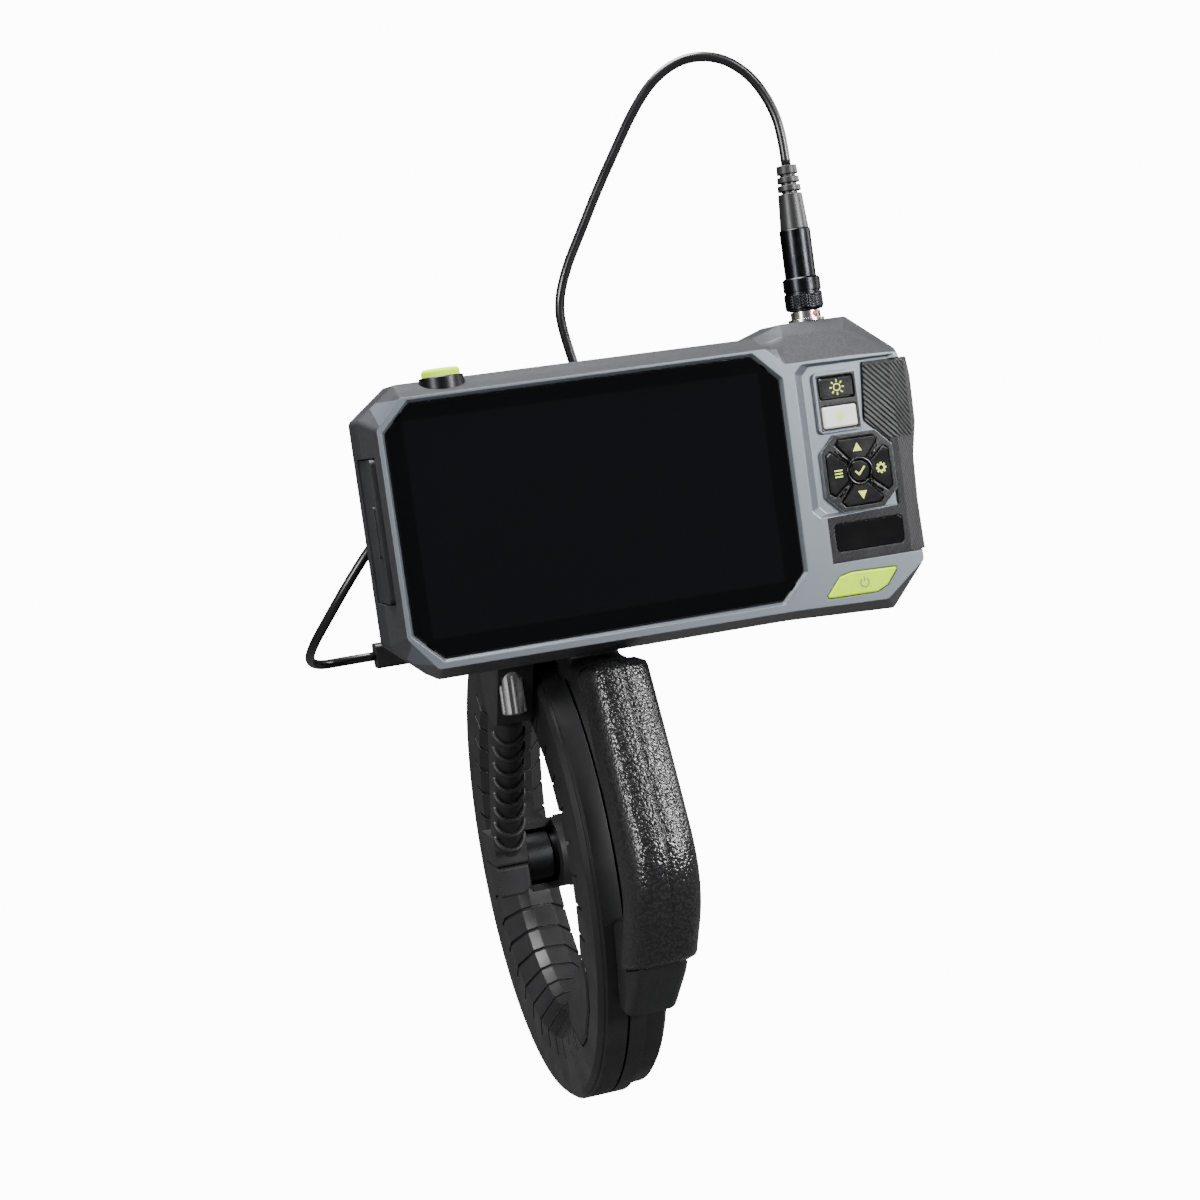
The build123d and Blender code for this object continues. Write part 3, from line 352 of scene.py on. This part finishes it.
def grip_rubber():
    """Soft rubber with a leather grain, coarse on the front and finer on the flanks, with painted shade
    between its pebbles.
    """
    paint = Paint("grip_rubber", (0.007, 0.007, 0.008), 0.26, specular=0.6)
    flank = paint.ranged(paint.math("ABSOLUTE", paint.part_of("Normal", 0)), 0, 1, 0.55, 0.85)
    coarse, fine = paint.pebbles(1.05 * MM), paint.pebbles(0.55 * MM)
    large = paint.math("MULTIPLY", coarse, paint.ranged(flank, 0.7, 0.15, 0, 1))
    small = paint.math("MULTIPLY", fine, 0.3)
    paint.bump(paint.math("ADD", large, small), 0.30 * MM)
    paint.join(paint.ranged(flank, 0.22, 0.46, 0, 1), paint.shader.inputs["Roughness"])
    # Painted shade: the colour darkens between the pebbles, where shade falls in the grain, and is lighter
    # on their tops.
    height = paint.ranged(coarse, 0, 1, 0.35, 0.85)
    paint.join(paint.mixed(height, (0.005, 0.005, 0.0055), (0.017, 0.017, 0.0185)),
               paint.shader.inputs["Base Color"])
    return paint.material


def side_rubber():
    """The monitor's rubber side grip: slanting ribs above, fine hatching below."""
    paint = Paint("side_rubber", (0.012, 0.012, 0.013), 0.42)
    paint.soften(0.6 * MM)
    paint.bump(paint.noise(0.3 * MM, 2), 0.03 * MM)
    upper = mask_of_box(paint, 60, 104.0, 7.0, 30.6, 0.6)
    paint.bump(paint.math("MULTIPLY", slanting_ribs(paint, 1.3 * MM, -46), upper), 0.50 * MM)
    lower = paint.math("SUBTRACT", 1.0, upper)
    paint.bump(paint.math("MULTIPLY", slanting_ribs(paint, 0.8 * MM, 50), lower), 0.14 * MM)
    paint.vary_rough(9 * MM, 0.06)
    paint.vary_colour(12 * MM, 0.15)
    return paint.material


def slanting_ribs(paint, pitch, degrees):
    """Waves from 0 to 1 across the front, one for each pitch, turned by an angle."""
    turned = paint.add("ShaderNodeMapping")
    turned.inputs["Rotation"].default_value = (0, math.radians(degrees), 0)
    paint.join(paint.place, turned.inputs["Vector"])
    ribs = paint.add("ShaderNodeTexWave", wave_type="BANDS", bands_direction="Z")
    ribs.inputs["Scale"].default_value = math.pi / 10 / pitch
    paint.join(turned.outputs[0], ribs.inputs["Vector"])
    return ribs.outputs["Fac"]


def gloss(name, colour, rough=0.16, coat=0.5, cell=3 * MM, specular=0.5):
    """Polished plastic with a faint moulding ripple."""
    paint = Paint(name, colour, rough, coat=coat, specular=specular)
    paint.soften(0.3 * MM)
    paint.bump(paint.noise(cell), 0.01 * MM)
    paint.vary_rough(6 * MM, 0.04)
    paint.vary_colour(5 * MM, 0.06)
    return paint.material


def screen_glass():
    """Dark cover glass: a near-black display behind a hard clear coat."""
    paint = Paint("screen_glass", (0.0016, 0.0018, 0.0022), 0.07, specular=0.35)
    display = mask_of_box(paint, -55.5, 54.5, -31.5, 32.5, 0.6)
    shade = paint.mixed(display, (0.0012, 0.0013, 0.0016), (0.0022, 0.0025, 0.0032))
    paint.join(shade, paint.shader.inputs["Base Color"])
    paint.join(paint.ranged(paint.noise(25 * MM), 0.05, 0.10), paint.shader.inputs["Roughness"])
    return paint.material


def metal(name, colour, rough, brushed=(1, 1, 1), depth=0.006 * MM):
    """Metal whose fine scratches are drawn out across the axis with the smaller stretch."""
    paint = Paint(name, colour, rough, metallic=1.0)
    paint.soften(0.2 * MM)
    stretched = paint.add("ShaderNodeMapping")
    stretched.inputs["Scale"].default_value = brushed
    paint.join(paint.place, stretched.inputs["Vector"])
    scratches = paint.noise(0.2 * MM, 4, stretched.outputs[0])
    paint.bump(scratches, depth)
    paint.join(paint.ranged(scratches, rough * 0.7, rough * 1.4), paint.shader.inputs["Roughness"])
    paint.vary_colour(4 * MM, 0.05)
    return paint.material


def icon_ink(name, colour):
    """Printed ink, a little uneven."""
    paint = Paint(name, colour, 0.45)
    paint.bump(paint.noise(0.12 * MM), 0.005 * MM)
    paint.vary_colour(1.5 * MM, 0.06)
    return paint.material


def floor_paint():
    """Pale paper, lit from behind where it is seen."""
    paint = Paint("floor_paint", (0.07, 0.07, 0.07), 0.85, specular=0.05)
    paint.vary_rough(0.3, 0.05)
    paint.shader.inputs["Emission Color"].default_value = (1, 1, 1, 1)
    paint.join(seen_or_not(paint.tree, STUDIO_WHITE - 0.5, 0.0), paint.shader.inputs["Emission Strength"])
    return paint.material


FLOOR_PAINT = floor_paint()
REEL_PLASTIC = moulded("reel_plastic", (0.015, 0.015, 0.0158), 0.42, grain=0.4 * MM, depth=0.010 * MM,
                       specular=0.3)
FRAME_PLASTIC = moulded("frame_plastic", (0.016, 0.016, 0.0172), 0.46, specular=0.35)
CASE_PLASTIC = moulded("case_plastic", (0.018, 0.019, 0.021), 0.46, grain=0.3 * MM, depth=0.025 * MM)
BEZEL_PAINT = bezel_paint()
GRIP_RUBBER = grip_rubber()
SIDE_RUBBER = side_rubber()
LIME = gloss("lime_plastic", (0.50, 0.80, 0.0), 0.50, 0.0, specular=0.05)
BLACK_KEY = gloss("black_key", (0.002, 0.002, 0.0025), 0.22, 0.2, specular=0.35)
WHITE_KEY = gloss("white_key", (0.74, 0.74, 0.71), 0.35, 0.2)
BADGE_BLACK = gloss("badge_black", (0.003, 0.003, 0.0035), 0.10, 0.6)
SCREEN_GLASS = screen_glass()
STEEL = metal("steel", (0.42, 0.42, 0.43), 0.32, (1, 0.06, 1))
BLACK_STEEL = metal("black_steel", (0.030, 0.030, 0.032), 0.34)
HINGE_METAL = metal("hinge_metal", (0.035, 0.035, 0.037), 0.38)
NICKEL = metal("nickel", (0.72, 0.70, 0.66), 0.18, (1, 1, 0.08))
PLUG_BLACK = metal("plug_black", (0.022, 0.022, 0.025), 0.28, (1, 1, 0.08))
BRONZE = metal("bronze", (0.60, 0.38, 0.18), 0.35)
BOOT_RUBBER = moulded("boot_rubber", (0.010, 0.010, 0.011), 0.44, grain=0.3 * MM, depth=0.02 * MM)
LEAD_JACKET = moulded("lead_jacket", (0.007, 0.007, 0.008), 0.28, grain=1.5 * MM, depth=0.004 * MM,
                      coat=0.1)
CABLE_JACKET = moulded("cable_jacket", (0.012, 0.012, 0.013), 0.45, grain=0.5 * MM)
SILICONE = moulded("silicone", (0.02, 0.02, 0.022), 0.60)
BOARD_GREEN = moulded("board_green", (0.01, 0.09, 0.03), 0.40)
BATTERY_BLUE = gloss("battery_sleeve", (0.03, 0.06, 0.14), 0.30, 0.2)
LENS_GLASS = gloss("lens_glass", (0.01, 0.012, 0.016), 0.04, 0.9)
ICON_LIME = icon_ink("icon_lime", (0.66, 0.80, 0.10))
ICON_PALE = icon_ink("icon_pale", (0.62, 0.78, 0.16))
ICON_GREY = icon_ink("icon_grey", (0.07, 0.13, 0.17))
RED_MARK = icon_ink("red_mark", (0.70, 0.02, 0.02))

DRESS = {
    REEL_PLASTIC: ["reel_shell_left", "reel_shell_right", "reel_hub", "hub_plate"],
    FRAME_PLASTIC: ["handle_left", "handle_right", "head_left", "head_right", "arm_socket", "reel_arm",
                    "hub_clamp", "nozzle", "lock_knob"],
    CASE_PLASTIC: ["rear_case", "battery_cover", "port_block", "port_flap"],
    BEZEL_PAINT: ["front_case"],
    GRIP_RUBBER: ["grip_sleeve"],
    SIDE_RUBBER: ["side_grip"],
    LIME: ["capture_button", "power_key"],
    BLACK_KEY: ["brightness_key", "up_key", "menu_key", "down_key", "settings_key", "ok_key"],
    WHITE_KEY: ["lamp_key"],
    BADGE_BLACK: ["badge_plate", "display_panel"],
    SCREEN_GLASS: ["screen_glass"],
    STEEL: ["hub_axle", "tilt_pin", "camera_head", "arm_thumbscrew"],
    BLACK_STEEL: ["reel_screws", "case_screws", "button_collar"],
    HINGE_METAL: ["hinge_plate", "tilt_post", "slip_ring_body", "slip_ring_disc", "hub_bush"],
    NICKEL: ["lead_socket"],
    PLUG_BLACK: ["plug_barrel", "plug_sleeve"],
    BRONZE: ["tripod_insert"],
    BOOT_RUBBER: ["plug_boot", "lead_outlet"],
    LEAD_JACKET: ["lead_upper", "lead_lower"],
    CABLE_JACKET: ["push_cable_coil", "push_cable_end"],
    SILICONE: ["key_mat", "case_gasket"],
    BOARD_GREEN: ["main_board"],
    BATTERY_BLUE: ["battery_pack"],
    LENS_GLASS: ["camera_window"],
}


def dress_nodes():
    for material, names in DRESS.items():
        for name in names:
            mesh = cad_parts[name].data
            mesh.materials.clear()
            mesh.materials.append(material)


# ---------------------------------------------------------------- meshes
def piece(name, points, faces, material, body, smooth=True):
    """An object made of points and faces that moves with a body; body None leaves it attached to none."""
    mesh = bpy.data.meshes.new(name)
    mesh.from_pydata([tuple(p) for p in points], [], faces)
    mesh.validate()
    for face in mesh.polygons:
        face.use_smooth = smooth
    mesh.materials.append(material)
    made = bpy.data.objects.new(name, mesh)
    bpy.context.scene.collection.objects.link(made)
    if body:
        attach(made, body)
    return made


def skin(rings):
    """Points and faces of a closed surface through rings that have the same number of points."""
    count = len(rings[0])
    points = [p for ring in rings for p in ring]
    faces = []
    for r in range(len(rings) - 1):
        for k in range(count):
            a, b = r * count + k, r * count + (k + 1) % count
            faces.append((a, b, b + count, a + count))
    faces.append(tuple(reversed(range(count))))
    faces.append(tuple(range((len(rings) - 1) * count, len(rings) * count)))
    return points, faces


# ---------------------------------------------------------------- grip sleeve
# Outlines are (y, z) corners in the reel's frame, from the top down.
GRIP_FRONT = [(-104.6, 75.5), (-130.4, 9.6), (-111.2, -17.0)]
GRIP_BACK = [(-85.2, 71.7), (-105.9, 6.0), (-88.8, -22.6)]
GRIP_BEND = 0.68                                 # share of the sleeve's length above its bend
GRIP_X, GRIP_SLIM, GRIP_SWELL = 2.6, 9.9, 1.1    # middle, half width at the top, and what the palm adds
GRIP_ROUNDING = 3.0                              # at both ends
PARTING_DEPTH, PARTING_WIDTH = 0.45, 0.38


def bent_line(corners, share, bend, steps):
    """Evenly spaced (y, z) points along two runs whose corner is a curve; share is the first run's."""
    (y0, z0), (y1, z1), (y2, z2) = corners
    line = []
    for k in range(steps + 1):
        t = k / steps
        if t < share - bend:
            u = t / share
            line.append((y0 + (y1 - y0) * u, z0 + (z1 - z0) * u))
        elif t > share + bend:
            u = (t - share) / (1 - share)
            line.append((y1 + (y2 - y1) * u, z1 + (z2 - z1) * u))
        else:
            u0, u1 = 1 - bend / share, bend / (1 - share)
            start = (y0 + (y1 - y0) * u0, z0 + (z1 - z0) * u0)
            end = (y1 + (y2 - y1) * u1, z1 + (z2 - z1) * u1)
            w = (t - share + bend) / (2 * bend)
            line.append(tuple(a * (1 - w) ** 2 + b * 2 * w * (1 - w) + c * w * w
                              for a, b, c in zip(start, (y1, z1), end)))
    return line


def sleeve_section():
    """(across, deep) points from -1 to 1 round the sleeve, closer together at its parting line.

    The section is a superellipse; the three even points nearest the line make room for the close ones.
    """
    power = 3.1
    turns = [2 * math.pi * k / 72 for k in range(72) if k not in (17, 18, 19)]
    for offset in (0.0, 0.012, 0.025, 0.045, 0.075, 0.12, 0.18, 0.26):
        near = math.acos(offset ** (power / 2))
        turns += [near] if offset == 0.0 else [near, math.pi - near]
    points = []
    for turn in sorted(turns):
        c, s = math.cos(turn), math.sin(turn)
        points.append((math.copysign(abs(c) ** (2 / power), c), math.copysign(abs(s) ** (2 / power), s)))
    return points


def grip_sleeve():
    """The soft sleeve: broad rounded faces, rounded ends and a groove where its mould parted."""
    steps, length = 64, 100
    front = bent_line(GRIP_FRONT, GRIP_BEND, 0.17, steps)
    back = bent_line(GRIP_BACK, GRIP_BEND, 0.12, steps)
    section = sleeve_section()
    rings = []
    for k in range(steps + 1):
        (fy, fz), (by, bz) = front[k], back[k]
        end = min(k, steps - k) / steps * length
        short = max(0.0, GRIP_ROUNDING - end)
        inset = GRIP_ROUNDING - math.sqrt(max(0.0, GRIP_ROUNDING ** 2 - short ** 2))
        middle_y, middle_z = (fy + by) / 2, (fz + bz) / 2
        depth = math.hypot(fy - by, fz - bz) / 2
        toward = ((fy - by) / (2 * depth), (fz - bz) / (2 * depth))
        half = GRIP_SLIM + GRIP_SWELL * math.sin(math.pi / 2 * min(1.0, k / steps / GRIP_BEND))
        ring = []
        for across, deep in section:
            d = deep * (depth - inset)
            if deep > 0:
                d -= PARTING_DEPTH * math.exp(-(across * half / PARTING_WIDTH) ** 2)
            ring.append(in_reel(GRIP_X + across * (half - inset), middle_y + toward[0] * d,
                                middle_z + toward[1] * d))
        rings.append(ring)
    points, faces = skin(rings)
    sleeve = piece("grip_skin", points, faces, GRIP_RUBBER, "frame")
    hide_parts("grip_sleeve")


# ---------------------------------------------------------------- arm ribs
# In the reel's frame: the arm stands on the axle and leans towards the user.
ARM_X, ARM_HALF_WIDTH, ARM_HALF_DEPTH = -18.9, 4.7, 9.0
ARM_LEAN = math.radians(30)
ARM_RIBS, ARM_RIB_PITCH, ARM_FIRST_RIB = 8, 6.4, 15.5
ARM_RIB_SAG = 3.0                                # how far a rib's middle hangs below its ends
ARM_RIB_RADIUS = 0.85


def rib_line(distance):
    """Half a hoop round the arm's near edge, at a distance up the arm from the axle."""
    steps, hoop = 20, ARM_HALF_WIDTH + 0.25
    line = []
    for k in range(steps + 1):
        turn = math.pi * (k / steps - 0.5)
        along = distance - ARM_RIB_SAG * math.cos(turn)
        across = -(ARM_HALF_DEPTH - ARM_HALF_WIDTH + hoop * math.cos(turn))
        line.append(in_reel(ARM_X + hoop * math.sin(turn),
                            -along * math.sin(ARM_LEAN) + across * math.cos(ARM_LEAN),
                            along * math.cos(ARM_LEAN) + across * math.sin(ARM_LEAN)))
    return line


def arm_ribs():
    """Half-round ribs that hang like saucers across the arm's near edge."""
    points, faces = [], []
    for k in range(ARM_RIBS):
        line = rib_line(ARM_FIRST_RIB + ARM_RIB_PITCH * k)
        rib_points, rib_faces = skin(tube_rings(line, ARM_RIB_RADIUS * MM, 10))
        faces += [tuple(n + len(points) for n in face) for face in rib_faces]
        points += rib_points
    piece("arm_ribs", points, faces, FRAME_PLASTIC, "frame")


# ---------------------------------------------------------------- key icons
ICON_PROUD = 0.07


def bar(u0, v0, u1, v1, width):
    """A straight stroke as a closed outline."""
    long = math.hypot(u1 - u0, v1 - v0)
    du, dv = -(v1 - v0) / long * width / 2, (u1 - u0) / long * width / 2
    return [(u0 + du, v0 + dv), (u0 - du, v0 - dv), (u1 - du, v1 - dv), (u1 + du, v1 + dv)]


def arc_strokes(radius, width, start, end, steps):
    """Short strokes that make an arc, from one angle to another in degrees."""
    strokes = []
    for k in range(steps):
        a, b = (math.radians(start + (end - start) * n / steps) for n in (k, k + 1))
        inner, outer = radius - width / 2, radius + width / 2
        corners = ((inner, a), (outer, a), (outer, b), (inner, b))
        strokes.append([(r * math.cos(turn), r * math.sin(turn)) for r, turn in corners])
    return strokes


def rays(count, r0, r1, width):
    """Straight strokes that point away from the middle, from one radius to another."""
    made = []
    for k in range(count):
        c, s = math.cos(2 * math.pi * k / count), math.sin(2 * math.pi * k / count)
        made.append(bar(r0 * c, r0 * s, r1 * c, r1 * s, width))
    return made


def disc(radius):
    turns = [math.pi * k / 14 for k in range(28)]
    return [[(radius * math.cos(turn), radius * math.sin(turn)) for turn in turns]]


def icon(name, key, shapes, x, z, material=ICON_LIME, face=KEY_FACE):
    """Flat strokes that stand a hair proud of a key's front and move with it."""
    points, faces = [], []
    for outline in shapes:
        first, count = len(points), len(outline)
        points += [in_monitor(x + u, face, z + v) for u, v in outline]
        points += [in_monitor(x + u, face - ICON_PROUD, z + v) for u, v in outline]
        faces.append(tuple(range(first, first + count)))
        faces.append(tuple(reversed(range(first + count, first + 2 * count))))
        for k in range(count):
            after = (k + 1) % count
            faces.append((first + k, first + count + k, first + count + after, first + after))
    piece(name, points, faces, material, key, smooth=False)


def key_icons():
    sun = arc_strokes(1.05, 0.34, 0, 360, 24) + rays(8, 1.6, 2.35, 0.42)
    gear = arc_strokes(1.0, 0.5, 0, 360, 24) + rays(8, 1.2, 1.7, 0.6)
    three_bars = [bar(-1.3, v, 1.3, v, 0.42) for v in (-0.95, 0.0, 0.95)]
    check_mark = [bar(-1.5, 0.1, -0.4, -1.1, 0.5), bar(-0.5, -1.15, 1.6, 1.2, 0.5)]
    power = arc_strokes(1.35, 0.34, 125, 415, 22) + [bar(0, 0.4, 0, 1.9, 0.34)]
    icon("sun_icon", "brightness_key", sun, SMALL_KEY_X, 24.7)
    icon("lamp_icon", "lamp_key", disc(1.25), SMALL_KEY_X, 15.8, ICON_PALE)
    icon("up_icon", "up_key", [[(-1.45, -1.1), (1.45, -1.1), (0.0, 1.5)]], PAD_X, 5.8)
    icon("down_icon", "down_key", [[(-1.45, 1.1), (0.0, -1.5), (1.45, 1.1)]], PAD_X, -8.6)
    icon("menu_icon", "menu_key", three_bars, PAD_X - PAD_REACH, PAD_Z)
    icon("settings_icon", "settings_key", gear, PAD_X + PAD_REACH, PAD_Z)
    icon("ok_icon", "ok_key", check_mark, PAD_X, PAD_Z)
    icon("power_icon", "power_key", power, 79.2, -35.3, ICON_GREY, POWER_FACE)


# ---------------------------------------------------------------- direction pad
# (radius, front) round the ring's section, and (aside, front) round a rib's.
PAD_RING = ((3.52, -1.33), (3.60, -1.55), (3.80, -1.63), (4.05, -1.63), (4.25, -1.55), (4.33, -1.33))
PAD_RIB = ((-0.30, -0.7), (-0.24, -1.30), (0.24, -1.30), (0.30, -0.7))
PAD_RIB_ENDS = (4.30, 9.9)


def pad_ribs():
    """Ring round the middle key and four ribs between the direction keys."""
    points, faces = [], []
    count, rows = 48, len(PAD_RING)
    for radius, front in PAD_RING:
        for k in range(count):
            turn = 2 * math.pi * k / count
            points.append(in_monitor(PAD_X + radius * math.cos(turn), front,
                                     PAD_Z + radius * math.sin(turn)))
    for r in range(rows):
        here, there = r * count, (r + 1) % rows * count
        for k in range(count):
            after = (k + 1) % count
            faces.append((here + k, here + after, there + after, there + k))
    for k in range(4):
        turn = math.radians(45 + 90 * k)
        along, aside = (math.cos(turn), math.sin(turn)), (-math.sin(turn), math.cos(turn))
        first = len(points)
        for distance in PAD_RIB_ENDS:
            for side, front in PAD_RIB:
                points.append(in_monitor(PAD_X + along[0] * distance + aside[0] * side, front,
                                         PAD_Z + along[1] * distance + aside[1] * side))
        for n in range(4):
            after = (n + 1) % 4
            faces.append((first + n, first + after, first + 4 + after, first + 4 + n))
        faces += [(first + 3, first + 2, first + 1, first), (first + 4, first + 5, first + 6, first + 7)]
    piece("pad_ribs", points, faces, BLACK_KEY, "monitor")


# ---------------------------------------------------------------- plug details
PLUG_X, PLUG_Y = 78.3, 16.0                      # the plug's axis in the monitor's frame


def knurled_band():
    """Diamond knurling round the screw latch's lower half; its ends dip into the latch."""
    low, high, radius, ridge_height, dip = 50.2, 54.5, 5.78, 0.16, 0.4
    count, rows, pitch, ridge_half = 120, 16, 6, 1.6
    rings = []
    for r in range(rows + 1):
        height = low + (high - low) * r / rows
        ring = []
        for k in range(count):
            up, down = (k + 2 * r) % pitch, (k - 2 * r) % pitch
            nearest = min(up, pitch - up, down, pitch - down)
            ridge = -dip if r in (0, rows) else ridge_height * max(0, 1 - nearest / ridge_half)
            turn = 2 * math.pi * k / count
            ring.append(in_monitor(PLUG_X + (radius + ridge) * math.cos(turn),
                                   PLUG_Y + (radius + ridge) * math.sin(turn), height))
        rings.append(ring)
    points, faces = skin(rings)
    piece("latch_knurling", points, faces, PLUG_BLACK, "plug_sleeve", smooth=False)


def alignment_dot():
    """Red enamel dot on the socket's side, towards the user."""
    turn, height, radius = math.radians(-75), 48.1, 4.58
    normal = Vector((math.cos(turn), math.sin(turn), 0))
    across = Vector((-math.sin(turn), math.cos(turn), 0))
    rings = []
    for size, proud in ((0.75, -0.15), (0.75, 0.05), (0.55, 0.12), (0.25, 0.15)):
        ring = []
        for k in range(20):
            angle = 2 * math.pi * k / 20
            place = normal * (radius + proud) + across * (size * math.cos(angle))
            ring.append(in_monitor(PLUG_X + place.x, PLUG_Y + place.y, height + size * math.sin(angle)))
        rings.append(ring)
    points, faces = skin(rings)
    piece("alignment_dot", points, faces, RED_MARK, "monitor")


# ---------------------------------------------------------------- jumper lead
# The route goes from the plug's boot, over the top and down behind the monitor, to the head's left
# side. Its points are in metres from the middle of the screen.
LEAD_DIAMETER = 3.0 * MM
LEAD_ROUTE = [(0.0783, 0.0160, 0.0940), (0.0783, 0.0160, 0.1045), (0.0760, 0.0172, 0.1145),
              (0.0708, 0.0187, 0.1238), (0.0625, 0.0209, 0.1300), (0.0522, 0.0238, 0.1309),
              (0.0430, 0.0266, 0.1260), (0.0358, 0.0292, 0.1172), (0.0292, 0.0318, 0.1062),
              (0.0226, 0.0342, 0.0952), (0.0164, 0.0366, 0.0836), (0.0099, 0.0386, 0.0720),
              (0.0064, 0.0400, 0.0610), (0.0078, 0.0412, 0.0506), (0.0102, 0.0422, 0.0406),
              (0.0084, 0.0430, 0.0304), (0.0018, 0.0436, 0.0216), (-0.0086, 0.0438, 0.0170),
              (-0.0206, 0.0438, 0.0162), (-0.0322, 0.0436, 0.0144), (-0.0430, 0.0434, 0.0104),
              (-0.0528, 0.0434, 0.0042), (-0.0618, 0.0438, -0.0036), (-0.0698, 0.0464, -0.0134),
              (-0.0770, 0.0508, -0.0236), (-0.0822, 0.0576, -0.0320), (-0.0834, 0.0672, -0.0376),
              (-0.0794, 0.0756, -0.0406), (-0.0708, 0.0808, -0.0410), (-0.0600, 0.0808, -0.0410)]


def smooth_line(route):
    """Points along the smooth curve that a route controls."""
    data = bpy.data.curves.new("route", "CURVE")
    data.dimensions = "3D"
    data.resolution_u = 10
    spline = data.splines.new("NURBS")
    spline.points.add(len(route) - 1)
    for point, place in zip(spline.points, route):
        point.co = (*(MONITOR + Vector(place)), 1)
    spline.order_u = 3
    spline.use_endpoint_u = True
    holder = bpy.data.objects.new("route", data)
    bpy.context.scene.collection.objects.link(holder)
    scene_now = bpy.context.evaluated_depsgraph_get()
    line = bpy.data.meshes.new_from_object(holder.evaluated_get(scene_now))
    points = [v.co.copy() for v in line.vertices]
    bpy.data.objects.remove(holder)
    return points


def tube_rings(line, radius, sides):
    """Circles along a line, turned as little as possible from one to the next."""
    across = (line[1] - line[0]).orthogonal().normalized()
    rings = []
    for k, point in enumerate(line):
        ahead = (line[min(k + 1, len(line) - 1)] - line[max(k - 1, 0)]).normalized()
        across = (across - ahead * across.dot(ahead)).normalized()
        side = ahead.cross(across)
        rings.append([point + (across * math.cos(2 * math.pi * s / sides)
                               + side * math.sin(2 * math.pi * s / sides)) * radius for s in range(sides)])
    return rings


def jumper_lead():
    """One flexible lead that stands for the frame's two, laid along a fixed route."""
    line = smooth_line(LEAD_ROUTE)
    points, faces = skin(tube_rings(line, LEAD_DIAMETER / 2, 16))
    lead = piece("jumper_lead", points, faces, LEAD_JACKET, None)
    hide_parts("lead_upper", "lead_lower")
    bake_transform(lead)


add_camera()
add_lights()
add_floor()
dress_nodes()
grip_sleeve()
arm_ribs()
pad_ribs()
key_icons()
knurled_band()
alignment_dot()
jumper_lead()
